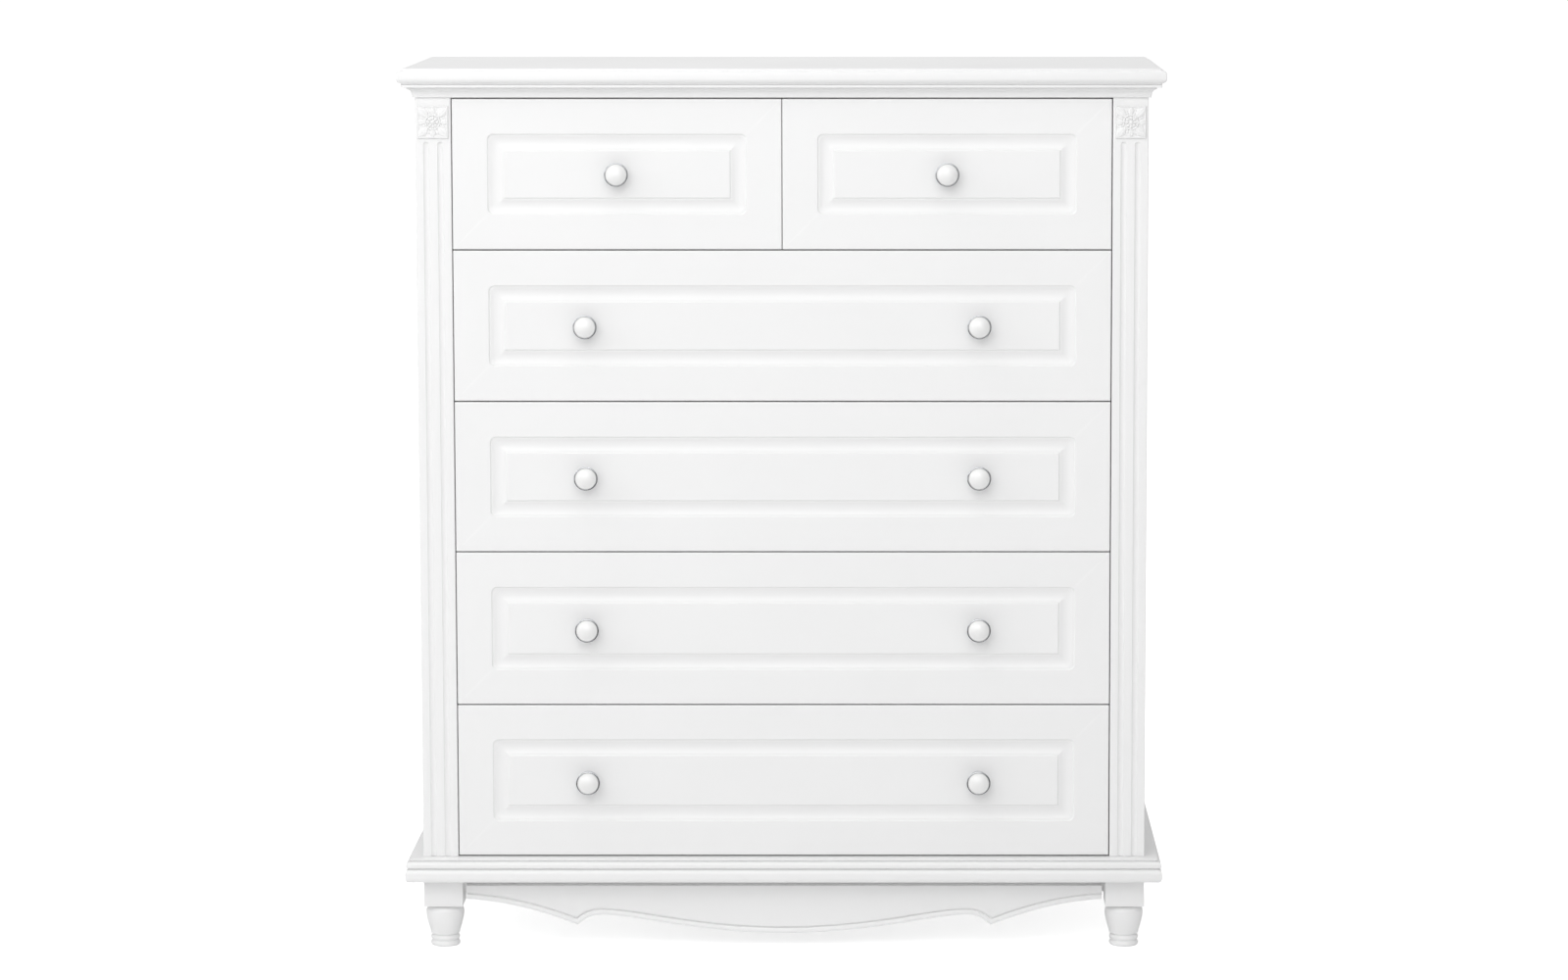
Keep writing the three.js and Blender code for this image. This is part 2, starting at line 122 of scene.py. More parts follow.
class ChestShape(PropertyGroup):
    """Sizes of the details that the frame doesn't hold."""

    edge_round: length_property("Edge round", "Radius of the eased edges of the drawer fronts", 0.0016)
    board_ease: length_property("Board ease", "Width of the eased edges of plain boards", 0.0009)
    mitre_round: length_property("Mitre round", "Radius of the front corners of the moulded boards", 0.0014)
    ring_margin: length_property("Ring margin", "From the edge of a front to its routed ring", 0.043)
    ring_width: length_property("Ring width", "Across the routed ring", 0.0216)
    ring_depth: length_property("Ring depth", "Depth of the hollow of the ring", 0.0034)
    ring_step: length_property("Ring step", "Depth of the sloped steps beside the hollow", 0.0017)
    ring_shoulder: length_property("Ring shoulder", "Width of each sloped step", 0.0018)
    ring_flat: length_property("Ring flat", "Width of the flats between the steps and the hollow", 0.0018)
    middle_gap: length_property("Middle gap", "Between the fronts of the two top drawers", 0.0009)
    front_ease: length_property("Front ease", "How far the lacquered fronts fill their gaps", 0.0002)
    end_gap: length_property("End gap", "Extra gap above the top and below the bottom drawers", 0.0009)
    ring_corner: length_property("Ring corner", "Radius of the outer corners of the ring", 0.007)
    flute_radius: length_property("Flute radius", "Radius of the cutter of the flutes", 0.004)
    flute_depth: length_property("Flute depth", "Depth of the flutes", 0.0026)
    flute_spacing: length_property("Flute spacing", "Between the middles of the two flutes", 0.0174)
    flute_drop: length_property("Flute drop", "From the top of a post to the round end of a flute", 0.058)
    bead_lift: length_property("Bead lift", "From the apron's lower edge to its incised line", 0.007)
    bead_width: length_property("Bead width", "Width of the incised line of the apron", 0.0024)
    bead_depth: length_property("Bead depth", "Depth of the incised line of the apron", 0.0030)
    apron_slot: length_property("Apron slot", "Height of the open slot over the apron", 0.0086)
    carving_steps: IntProperty(
        name="Carving steps", description="Grid of a rosette", default=112, min=16, max=200
    )
    turning_steps: IntProperty(
        name="Turning steps", description="Faces round a turned part", default=56, min=12
    )


class ChestFinish(PropertyGroup):
    """Colours and roughnesses of the finishes."""

    lacquer: colour_property("Lacquer", "White lacquer of the visible boards", (0.89, 0.89, 0.89))
    lacquer_roughness: share_property("Lacquer roughness", "Satin of the lacquer", 0.34)
    drawer_wood: colour_property("Drawer wood", "White-washed boards inside", (0.80, 0.775, 0.735))
    back_board: colour_property("Back board", "Painted hardboard", (0.79, 0.78, 0.755))
    ceramic: colour_property("Ceramic", "Glaze of the knobs", (0.90, 0.90, 0.895))
    chrome: colour_property("Chrome", "Rings, stems and feet of the knobs", (0.70, 0.71, 0.73))
    slide_steel: colour_property("Slide steel", "Powder coat of the drawer slides", (0.82, 0.82, 0.815))
    nylon: colour_property("Nylon", "Rollers of the drawer slides", (0.74, 0.73, 0.70))
    zinc: colour_property("Zinc", "Screws and pins", (0.52, 0.53, 0.53))


class ChestStage(PropertyGroup):
    """Camera and light."""

    camera_x: length_property("Camera across", "Camera to the right of the middle", 0.143)
    camera_distance: length_property("Camera distance", "From the drawer fronts to the camera", 6.0)
    camera_height: length_property("Camera height", "Height of the camera above the floor", 1.350)
    camera_pitch: FloatProperty(
        name="Camera pitch", description="How far the camera looks down", default=math.radians(6.64),
        subtype="ANGLE",
    )
    lens: strength_property("Lens", "Focal length in millimetres", 111.35)
    shift_x: shift_property("Shift across", "Sideways shift of the lens", -0.0724)
    shift_y: shift_property("Shift up", "Upward shift of the lens", -0.035)
    sky: strength_property("Surrounding light", "Strength of the white surroundings", 0.52)
    key_power: strength_property("Key power", "Small soft lamp at the upper left", 8.0)
    top_power: strength_property("Top power", "Wide soft lamp above the front", 26.0)
    front_power: strength_property("Front power", "Wide soft lamp before the front", 41.0)
    rear_power: strength_property("Rear power", "Soft lamp above the back edge", 16.0)
    floor_lift: strength_property("Floor lift", "Extra white of the floor in the picture", 0.58)
    floor: colour_property("Floor", "Colour of the floor", (0.93, 0.93, 0.93))


# ---------------------------------------------------------------------------------------------
# Meshes
# ---------------------------------------------------------------------------------------------


def loft(rings):
    """A closed shell through rings of equally many points, with flat ends."""
    count = len(rings[0])
    faces = []
    for ring in range(len(rings) - 1):
        start = ring * count
        for here in range(count):
            after = (here + 1) % count
            faces.append((start + here, start + after, start + count + after, start + count + here))
    faces.append(tuple(range(count - 1, -1, -1)))
    last = (len(rings) - 1) * count
    faces.append(tuple(range(last, last + count)))
    return np.concatenate([np.asarray(ring, float) for ring in rings]), faces


def in_metres(profile):
    return [(one * MM, two * MM) for one, two in profile]


def lathe(profile, centre, axis, steps):
    """A turned shell: profile is (radius, distance along the axis), from one pole to the other."""
    along = Vector(axis).normalized()
    across = along.orthogonal().normalized()
    third = along.cross(across)
    vertices = []
    faces = []
    rings = []
    for radius, distance in profile:
        middle = Vector(centre) + along * distance
        if radius < 1e-7:
            rings.append([len(vertices)])
            vertices.append(middle)
            continue
        ring = []
        for step in range(steps):
            angle = 2 * math.pi * step / steps
            ring.append(len(vertices))
            vertices.append(middle + (across * math.cos(angle) + third * math.sin(angle)) * radius)
        rings.append(ring)
    for one, two in zip(rings, rings[1:]):
        for step in range(steps):
            after = (step + 1) % steps
            if len(one) == 1:
                faces.append((one[0], two[step], two[after]))
            elif len(two) == 1:
                faces.append((one[step], one[after], two[0]))
            else:
                faces.append((one[step], one[after], two[after], two[step]))
    return np.array(vertices), faces


def eased_board(lowest, highest, ease, steps=2):
    """A board with eased edges."""
    shape = bmesh.new()
    bmesh.ops.create_cube(shape, size=1.0)
    size = [b - a for a, b in zip(lowest, highest)]
    middle = [(a + b) / 2 for a, b in zip(lowest, highest)]
    bmesh.ops.scale(shape, vec=size, verts=shape.verts)
    bmesh.ops.translate(shape, vec=middle, verts=shape.verts)
    bmesh.ops.bevel(shape, geom=shape.edges[:], offset=ease, segments=steps, affect="EDGES", profile=0.5)
    vertices = np.array([vertex.co[:] for vertex in shape.verts])
    faces = [tuple(vertex.index for vertex in face.verts) for face in shape.faces]
    shape.free()
    return vertices, faces


def joined(shells):
    """Several shells as one list of vertices and faces."""
    vertices = []
    faces = []
    count = 0
    for points, shell in shells:
        vertices.append(np.asarray(points, float))
        faces.extend(tuple(index + count for index in face) for face in shell)
        count += len(points)
    return np.concatenate(vertices), faces


def make_piece(name, shells, body, finish, sharp, slot=None, replaces=()):
    """One object at the origin from closed shells; edges over sharp degrees stay crisp."""
    vertices, faces = joined(shells)
    mesh = bpy.data.meshes.new(name)
    mesh.from_pydata([tuple(point) for point in vertices], [], faces)
    shape = bmesh.new()
    shape.from_mesh(mesh)
    bmesh.ops.recalc_face_normals(shape, faces=shape.faces)
    shape.to_mesh(mesh)
    shape.free()
    mesh.shade_smooth()
    mesh.set_sharp_from_angle(angle=math.radians(sharp))
    return settle(name, mesh, body, finish, replaces)


def settle(name, mesh, body, finish, replaces=()):
    """Links a finished mesh as a piece of the chest."""
    mesh.materials.clear()
    mesh.materials.append(material(finish))
    piece = bpy.data.objects.new(name, mesh)
    bpy.context.scene.collection.objects.link(piece)
    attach(piece, body)
    if replaces:
        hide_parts(*replaces)
    return piece


def lacquered(name, shells, body, sharp, node):
    """A lacquered piece in the place of one frame node."""
    return make_piece(name, shells, body, "sprayed_lacquer", sharp, "white_lacquer", [node])


def arc(centre, radii, start, end, steps):
    """Points of an elliptical arc between two angles in degrees."""
    points = []
    for step in range(steps + 1):
        angle = math.radians(start + (end - start) * step / steps)
        points.append((centre[0] + radii[0] * math.cos(angle), centre[1] + radii[1] * math.sin(angle)))
    return points


def rounded_rectangle(x0, x1, z0, z1, radius, steps):
    """Points round a rectangle with rounded corners, as (x, z)."""
    points = []
    corners = (
        ((x1 - radius, z0 + radius), -90),
        ((x1 - radius, z1 - radius), 0),
        ((x0 + radius, z1 - radius), 90),
        ((x0 + radius, z0 + radius), 180),
    )
    for centre, start in corners:
        points.extend(arc(centre, (radius, radius), start, start + 90, steps))
    return points


def bent_strip(line, thickness, bend, steps=4):
    """The section of a folded strip of sheet metal along a line of (x, z) points."""
    path = [Vector(line[0])]
    for before, corner, after in zip(line, line[1:], line[2:]):
        one = (Vector(before) - Vector(corner)).normalized()
        two = (Vector(after) - Vector(corner)).normalized()
        start = Vector(corner) + one * bend
        end = Vector(corner) + two * bend
        for step in range(steps + 1):
            share = step / steps
            middle = 2 * share * (1 - share) * Vector(corner)
            path.append((1 - share) ** 2 * start + middle + share ** 2 * end)
    path.append(Vector(line[-1]))
    left = []
    right = []
    for index, point in enumerate(path):
        ahead = path[min(index + 1, len(path) - 1)] - path[max(index - 1, 0)]
        normal = Vector((-ahead.y, ahead.x)).normalized() * thickness / 2
        left.append(point + normal)
        right.append(point - normal)
    return [tuple(point) for point in left + right[::-1]]


# ---------------------------------------------------------------------------------------------
# Finishes
# ---------------------------------------------------------------------------------------------


def place(tree, kind, settings=None, values=None, fed=None):
    """Adds a node, sets it up and wires what feeds it."""
    made = tree.nodes.new(kind)
    for key, value in (settings or {}).items():
        setattr(made, key, value)
    for key, value in (values or {}).items():
        made.inputs[key].default_value = value
    for key, source in (fed or {}).items():
        tree.links.new(source, made.inputs[key])
    return made


def spread(tree, value, lowest, highest):
    """Widens the range from lowest to highest to 0 to 1."""
    made = place(
        tree, "ShaderNodeMapRange", values={"From Min": lowest, "From Max": highest}, fed={"Value": value}
    )
    return made.outputs["Result"]


def scaled(tree, value, lowest, highest):
    """Narrows 0 to 1 to the range from lowest to highest."""
    made = place(
        tree, "ShaderNodeMapRange", values={"To Min": lowest, "To Max": highest}, fed={"Value": value}
    )
    return made.outputs["Result"]


def noise(tree, vector, scale, detail, roughness=0.5, distortion=0.0):
    made = place(
        tree, "ShaderNodeTexNoise",
        values={"Detail": detail, "Roughness": roughness, "Distortion": distortion},
        fed={"Vector": vector, "Scale": scale},
    )
    return made.outputs["Fac"]


def fill_ripple(tree, given):
    """Fine ripple of a sprayed or moulded surface, and a slow mottle over it."""
    slow = noise(tree, given["Vector"], given["Mottle Scale"], 4.0, 0.55)
    return noise(tree, given["Vector"], given["Ripple Scale"], 2.0, 0.45), spread(tree, slow, 0.3, 0.7)


def fill_edge(tree, given):
    """A broken mask of the outward edges, where a finish wears; on the lacquer it carries a painted
    highlight.
    """
    shape = place(tree, "ShaderNodeNewGeometry")
    sharp = place(
        tree, "ShaderNodeMapRange",
        fed={"Value": shape.outputs["Pointiness"], "From Min": given["Start"], "From Max": given["Full"]},
    )
    patches = noise(tree, given["Vector"], given["Break Scale"], 3.0)
    fed = {0: sharp.outputs["Result"], 1: patches}
    return (place(tree, "ShaderNodeMath", {"operation": "MULTIPLY"}, fed=fed).outputs["Value"],)


def fill_grain(tree, given):
    """Long fibres with broad bands, running along the smallest entry of Stretch."""
    fed = {0: given["Vector"], 1: given["Stretch"]}
    laid = place(tree, "ShaderNodeVectorMath", {"operation": "MULTIPLY"}, fed=fed).outputs["Vector"]
    band = noise(tree, laid, given["Band Scale"], 5.0, 0.6, 0.8)
    return noise(tree, laid, given["Fibre Scale"], 3.0, 0.6), spread(tree, band, 0.35, 0.68)


def fill_speckle(tree, given):
    """Small round specks, such as powder coat, glaze pinholes or pressed fibres."""
    cells = place(
        tree, "ShaderNodeTexVoronoi", {"feature": "SMOOTH_F1"},
        fed={"Vector": given["Vector"], "Scale": given["Scale"]},
    )
    return (spread(tree, cells.outputs["Distance"], 0.1, 0.8),)


# Each shared effect: what fills it, its inputs besides Vector with their defaults, its outputs.
EFFECTS = {
    "surface_ripple": (fill_ripple, {"Ripple Scale": 380.0, "Mottle Scale": 9.0}, ("Height", "Mottle")),
    "edge_wear": (fill_edge, {"Start": 0.52, "Full": 0.62, "Break Scale": 60.0}, ("Mask",)),
    "long_grain": (
        fill_grain,
        {"Stretch": (1.0, 0.05, 1.0), "Fibre Scale": 420.0, "Band Scale": 34.0},
        ("Fibre", "Band"),
    ),
    "fine_speckle": (fill_speckle, {"Scale": 900.0}, ("Speck",)),
}


def effect_group(name):
    """The shader node group of an effect, built when it is first asked for."""
    if name in bpy.data.node_groups:
        return bpy.data.node_groups[name]
    fill, inputs, outputs = EFFECTS[name]
    tree = bpy.data.node_groups.new(name, "ShaderNodeTree")
    tree.interface.new_socket("Vector", in_out="INPUT", socket_type="NodeSocketVector")
    for label, default in inputs.items():
        kind = "NodeSocketVector" if isinstance(default, tuple) else "NodeSocketFloat"
        tree.interface.new_socket(label, in_out="INPUT", socket_type=kind).default_value = default
    for label in outputs:
        tree.interface.new_socket(label, in_out="OUTPUT", socket_type="NodeSocketFloat")
    given = tree.nodes.new("NodeGroupInput").outputs
    out = tree.nodes.new("NodeGroupOutput").inputs
    for label, source in zip(outputs, fill(tree, given)):
        tree.links.new(source, out[label])
    return tree


def effect(tree, name, where, values):
    """Places an effect in a material with its own values."""
    made = place(tree, "ShaderNodeGroup", {"node_tree": effect_group(name)}, values, {"Vector": where})
    return made.outputs


def start_material(name):
    """A material with a Principled shader, and the coordinates its patterns read."""
    made = bpy.data.materials.new(name)
    made.use_nodes = True
    tree = made.node_tree
    tree.nodes.clear()
    shader = place(tree, "ShaderNodeBsdfPrincipled")
    place(tree, "ShaderNodeOutputMaterial", fed={"Surface": shader.outputs["BSDF"]})
    where = place(tree, "ShaderNodeTexCoord").outputs["Object"]
    return made, tree, shader, where


def blend_colours(tree, share, one, two):
    """Mixes two colours; each is a colour or a socket."""
    mix = place(tree, "ShaderNodeMix", {"data_type": "RGBA"})
    for socket, value in ((mix.inputs[0], share), (mix.inputs[6], one), (mix.inputs[7], two)):
        if isinstance(value, bpy.types.NodeSocket):
            tree.links.new(value, socket)
        elif isinstance(value, float):
            socket.default_value = value
        else:
            socket.default_value = (*value, 1.0)
    return mix.outputs[2]


def add_bump(tree, shader, height, strength, distance):
    bump = place(
        tree, "ShaderNodeBump", values={"Strength": strength, "Distance": distance}, fed={"Height": height}
    )
    tree.links.new(bump.outputs["Normal"], shader.inputs["Normal"])


def dimmed(colour, share):
    return tuple(channel * share for channel in colour)


def brightened(colour, shares):
    return tuple(min(1.0, channel * share) for channel, share in zip(colour, shares))


def wire(tree, shader, colour, rough_mask, smooth, rough):
    """Feeds the colour, and a roughness that runs with a mask."""
    tree.links.new(colour, shader.inputs["Base Color"])
    tree.links.new(scaled(tree, rough_mask, smooth, rough), shader.inputs["Roughness"])


def lacquer_material(name, finish):
    made, tree, shader, where = start_material(name)
    ripple = effect(tree, "surface_ripple", where, {"Ripple Scale": 420.0, "Mottle Scale": 7.0})
    edge = effect(tree, "edge_wear", where, {"Start": 0.52, "Full": 0.66, "Break Scale": 45.0})
    colour = tuple(finish.lacquer)
    sprayed = blend_colours(tree, ripple["Mottle"], colour, dimmed(colour, 0.985))
    # Painted highlight: the outward edges of the lacquer are lightened in its base colour.
    painted_edge_highlight = blend_colours(tree, edge["Mask"], sprayed, brightened(colour, (1.035, 1.035, 1.035)))
    satin = finish.lacquer_roughness
    wire(tree, shader, painted_edge_highlight, ripple["Mottle"], satin - 0.03, satin + 0.05)
    add_bump(tree, shader, ripple["Height"], 0.12, 0.0002)
    shader.inputs["Specular IOR Level"].default_value = 0.42
    return made


def wood_material(name, finish, stretch):
    made, tree, shader, where = start_material(name)
    colour = tuple(finish.drawer_wood)
    grain = effect(tree, "long_grain", where, {"Stretch": stretch})
    edge = effect(tree, "edge_wear", where, {"Start": 0.51, "Full": 0.6, "Break Scale": 80.0})
    banded = blend_colours(tree, grain["Band"], dimmed(colour, 0.90), colour)
    fibres = blend_colours(tree, grain["Fibre"], dimmed(colour, 0.80), banded)
    worn = brightened(colour, (1.05, 1.03, 1.0))
    wire(tree, shader, blend_colours(tree, edge["Mask"], fibres, worn), grain["Band"], 0.62, 0.5)
    add_bump(tree, shader, grain["Fibre"], 0.25, 0.00025)
    return made


def hardboard_material(name, finish):
    made, tree, shader, where = start_material(name)
    speck = effect(tree, "fine_speckle", where, {"Scale": 520.0})
    ripple = effect(tree, "surface_ripple", where, {"Ripple Scale": 900.0, "Mottle Scale": 5.0})
    colour = tuple(finish.back_board)
    pressed = blend_colours(tree, speck["Speck"], dimmed(colour, 0.93), colour)
    stained = blend_colours(tree, ripple["Mottle"], pressed, dimmed(colour, 0.97))
    wire(tree, shader, stained, speck["Speck"], 0.72, 0.58)
    add_bump(tree, shader, speck["Speck"], 0.3, 0.0003)
    return made


def ceramic_material(name, finish):
    made, tree, shader, where = start_material(name)
    ripple = effect(tree, "surface_ripple", where, {"Ripple Scale": 160.0, "Mottle Scale": 55.0})
    colour = tuple(finish.ceramic)
    pooled = blend_colours(tree, ripple["Mottle"], colour, dimmed(colour, 0.975))
    wire(tree, shader, pooled, ripple["Mottle"], 0.16, 0.22)
    add_bump(tree, shader, ripple["Height"], 0.05, 0.0003)
    shader.inputs["Coat Weight"].default_value = 0.7
    shader.inputs["Coat Roughness"].default_value = 0.06
    return made


def metal_material(name, finish, metal, roughness):
    made, tree, shader, where = start_material(name)
    speck = effect(tree, "fine_speckle", where, {"Scale": 1400.0})
    ripple = effect(tree, "surface_ripple", where, {"Ripple Scale": 700.0, "Mottle Scale": 90.0})
    colour = tuple(getattr(finish, metal))
    clouded = blend_colours(tree, ripple["Mottle"], colour, dimmed(colour, 0.93))
    wire(tree, shader, clouded, speck["Speck"], roughness, roughness + 0.05)
    add_bump(tree, shader, ripple["Height"], 0.04, 0.0001)
    shader.inputs["Metallic"].default_value = 1.0
    return made


def powder_material(name, finish):
    made, tree, shader, where = start_material(name)
    speck = effect(tree, "fine_speckle", where, {"Scale": 1300.0})
    edge = effect(tree, "edge_wear", where, {"Start": 0.53, "Full": 0.64, "Break Scale": 120.0})
    colour = tuple(finish.slide_steel)
    grained = blend_colours(tree, speck["Speck"], dimmed(colour, 0.95), colour)
    rubbed = blend_colours(tree, edge["Mask"], grained, dimmed(colour, 0.82))
    wire(tree, shader, rubbed, speck["Speck"], 0.34, 0.46)
    add_bump(tree, shader, speck["Speck"], 0.2, 0.00012)
    return made


def nylon_material(name, finish):
    made, tree, shader, where = start_material(name)
    ripple = effect(tree, "surface_ripple", where, {"Ripple Scale": 600.0, "Mottle Scale": 140.0})
    colour = tuple(finish.nylon)
    cast = blend_colours(tree, ripple["Mottle"], colour, dimmed(colour, 0.92))
    wire(tree, shader, cast, ripple["Mottle"], 0.38, 0.5)
    add_bump(tree, shader, ripple["Height"], 0.1, 0.0002)
    return made


# Each finish: what makes it, and that maker's own settings.
FINISHES = {
    "sprayed_lacquer": (lacquer_material,),
    "wood_front_to_back": (wood_material, (1.0, 0.045, 1.0)),
    "wood_side_to_side": (wood_material, (0.045, 1.0, 1.0)),
    "wood_upright": (wood_material, (1.0, 1.0, 0.045)),
    "painted_hardboard": (hardboard_material,),
    "knob_glaze": (ceramic_material,),
    "knob_chrome": (metal_material, "chrome", 0.07),
    "screw_zinc": (metal_material, "zinc", 0.28),
    "slide_powder": (powder_material,),
    "roller_nylon": (nylon_material,),
}


def material(name):
    """The named finish, made when it is first asked for."""
    if name in bpy.data.materials:
        return bpy.data.materials[name]
    maker, *settings = FINISHES[name]
    return maker(name, bpy.context.scene.chest_finish, *settings)


def refinish(node, finish):
    """Gives a frame node that stays its finish."""
    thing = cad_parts[node]
    made = material(finish)
    if not thing.material_slots:
        thing.data.materials.append(made)
    for holder in thing.material_slots:
        holder.material = made


# ---------------------------------------------------------------------------------------------
# Moulded boards
# ---------------------------------------------------------------------------------------------

# Each edge is a list of (how far it passes the case, height in the board) in millimetres, from below.
TOP_EDGE = (
    [(15.0, 0.0), (15.7, 0.0), (16.0, 0.3), (16.0, 1.2), (15.7, 1.6)]
    + arc((15.7, 7.6), (5.8, 6.0), -82, 0, 10)
    + [(21.5, 10.4), (21.35, 12.6), (20.95, 14.3), (20.4, 15.5), (19.6, 16.3), (18.6, 16.7), (15.3, 16.9)]
    + [(14.9, 17.1), (14.7, 17.5), (14.7, 18.8), (14.5, 19.25), (14.1, 19.5), (13.2, 19.5)]
)
CROWN_EDGE = (
    [(2.2, 0.0), (2.8, 0.0), (3.0, 0.2), (3.0, 1.7), (3.3, 2.0)]
    + arc((9.1, 2.1), (5.6, 8.2), 180, 90, 10)
    + [(9.4, 10.45), (9.6, 10.8), (9.6, 12.2), (9.9, 12.5)]
    + [(15.5, 12.7), (15.9, 13.0), (16.0, 13.4), (16.0, 15.6), (15.8, 16.0), (15.2, 16.2)]
)
FLOOR_EDGE = (
    [(19.4, 0.0), (20.1, 0.2), (20.5, 0.8), (20.5, 3.4)]
    + arc((17.3, 3.5), (3.2, 4.1), 4, 88, 9)
    + [(16.9, 7.6), (14.0, 7.7), (13.8, 8.0), (13.8, 9.2), (14.2, 9.5)]
    + [(15.9, 9.6), (16.0, 10.5), (15.6, 11.1), (14.8, 11.2)]
)
PLINTH_EDGE = (
    [(16.6, 0.0), (17.3, 0.0)]
    + arc((17.3, 6.0), (4.2, 6.0), -86, 0, 8)
    + arc((17.3, 10.6), (4.2, 5.6), 4, 86, 8)
    + [(16.6, 16.4), (16.3, 16.8), (16.3, 18.2)]
)


def board_outline(reach, height, corner, steps=5):
    """A moulded board's outline at one height: rounded front corners and a straight back."""
    half = CASE_HALF + reach
    front = FACE_Y - reach
    points = [(-half, BACK_Y)]
    points += arc((-half + corner, front + corner), (corner, corner), 180, 270, steps)
    points += arc((half - corner, front + corner), (corner, corner), 270, 360, steps)
    points.append((half, BACK_Y))
    return [(x, y, height) for x, y in points]


def moulded_board(name, node, edge, corner):
    base = low(node)[2]
    tall = high(node)[2] - base
    stretch = tall / (edge[-1][1] * MM)
    rings = [board_outline(reach * MM, base + height * MM * stretch, corner) for reach, height in edge]
    lacquered(name, [loft(rings)], "case", SHARP_MOULDING, node)


class CHEST_OT_moulded_boards(Operator):
    """Top, crown, floor and plinth boards with mitred mouldings"""

    bl_idname = "chest.moulded_boards"
    bl_label = "Moulded boards"

    def execute(self, context):
        corner = context.scene.chest_shape.mitre_round
        moulded_board("moulded_top", "top_board", TOP_EDGE, corner)
        moulded_board("moulded_crown", "crown_board", CROWN_EDGE, corner)
        moulded_board("moulded_floor_board", "floor_board", FLOOR_EDGE, corner)
        moulded_board("moulded_plinth", "plinth_board", PLINTH_EDGE, corner)
        return {"FINISHED"}


# ---------------------------------------------------------------------------------------------
# Posts and rosettes
# ---------------------------------------------------------------------------------------------


def post_ring(shape, centre, depth, height, flute_top):
    """One level of a fluted post."""
    half = POST_WIDTH / 2
    ease, lip = 1.0 * MM, 0.3 * MM
    cuts = 14
    radius = shape.flute_radius
    core = radius - shape.flute_depth
    widest = math.sqrt(radius ** 2 - core ** 2)
    above = max(0.0, height - flute_top)
    width = math.sqrt(max(widest ** 2 - above ** 2, (0.01 * MM) ** 2))
    points = arc((centre - half + ease, FACE_Y + ease), (ease, ease), 180, 270, 4)
    points.append((centre - half + 2 * ease, FACE_Y))
    for side in (-1, 1):
        middle = centre + side * shape.flute_spacing / 2
        points.append((middle - width - lip, FACE_Y))
        for step in range(cuts + 1):
            across = -math.cos(math.pi * step / cuts) * width
            reach = radius ** 2 - across ** 2 - above ** 2
            sunk = max(0.0, math.sqrt(max(reach, 0.0)) - core)
            points.append((middle + across, FACE_Y + sunk))
        points.append((middle + width + lip, FACE_Y))
    points.append((centre + half - 2 * ease, FACE_Y))
    points += arc((centre + half - ease, FACE_Y + ease), (ease, ease), 270, 360, 4)
    points += [(centre + half, FACE_Y + depth), (centre - half, FACE_Y + depth)]
    return [(x, y, height) for x, y in points]


class CHEST_OT_posts(Operator):
    """Fluted front posts"""

    bl_idname = "chest.posts"
    bl_label = "Fluted posts"

    def execute(self, context):
        shape = context.scene.chest_shape
        radius = shape.flute_radius
        widest = math.sqrt(radius ** 2 - (radius - shape.flute_depth) ** 2)
        for name, side in SIDES:
            node = "post_" + name
            base, top = low(node)[2], high(node)[2]
            flute_top = top - shape.flute_drop
            levels = [base, flute_top - 50 * MM]
            levels += [flute_top + widest * math.sin(math.radians(turn)) for turn in range(0, 91, 10)]
            levels += [flute_top + widest + 0.4 * MM, top]
            depth = high(node)[1] - low(node)[1]
            rings = [post_ring(shape, side * POST_X, depth, level, flute_top) for level in levels]
            lacquered("fluted_post_" + name, [loft(rings)], "case", SHARP_POST, node)
        return {"FINISHED"}


def leaf_relief(x, z, angle, start, end, width, tall):
    """Height of a ridged leaf that points outwards at an angle."""
    turn = math.radians(angle)
    along = x * math.cos(turn) + z * math.sin(turn)
    across = -x * math.sin(turn) + z * math.cos(turn)
    share = np.clip((along - start) / (end - start), 0.0, 1.0)
    half = width * np.sin(np.pi * share) ** 0.75 + 1e-6
    crown = np.sqrt(np.clip(1.0 - (across / half) ** 2, 0.0, 1.0))
    vein = 0.42 * np.exp(-(across / 0.45) ** 2) * (share < 0.97)
    rise = tall * (0.62 + 0.38 * np.sin(np.pi * np.clip(share * 0.9 + 0.1, 0, 1)))
    height = crown * rise - vein * crown
    return np.where((along > start) & (along < end), height, 0.0)


def round_relief(distance, middle, half, tall):
    """Height of a bead whose top lies at a distance from its start."""
    return tall * np.sqrt(np.clip(1.0 - ((distance - middle) / half) ** 2, 0.0, 1.0))


# Leaves of a rosette: how many, first angle, start, end, half width and height.
LEAVES = (
    (4, 45.0, 8.6, 25.0, 5.2, 2.1),
    (4, 0.0, 9.0, 18.2, 3.9, 1.8),
    (8, 22.5, 9.4, 17.0, 1.3, 1.25),
    (8, 0.0, 2.6, 8.2, 2.0, 2.3),
)
ROSETTE_TOP = 2.75
ROSETTE_PLATE = 1.8


def rosette_relief(x, z, border):
    """Carving of a square rosette, in millimetres above its plate."""
    radius = np.hypot(x, z)
    reliefs = [
        leaf_relief(x, z, first + 360.0 / count * turn, *leaf)
        for count, first, *leaf in LEAVES
        for turn in range(count)
    ]
    reliefs.append(round_relief(radius, 8.9, 1.0, 1.9))
    reliefs.append(round_relief(radius, 0.0, 3.0, ROSETTE_TOP))
    reliefs.append(round_relief(border, 1.1, 0.8, 1.0))
    return np.minimum(np.maximum.reduce(reliefs), ROSETTE_TOP)


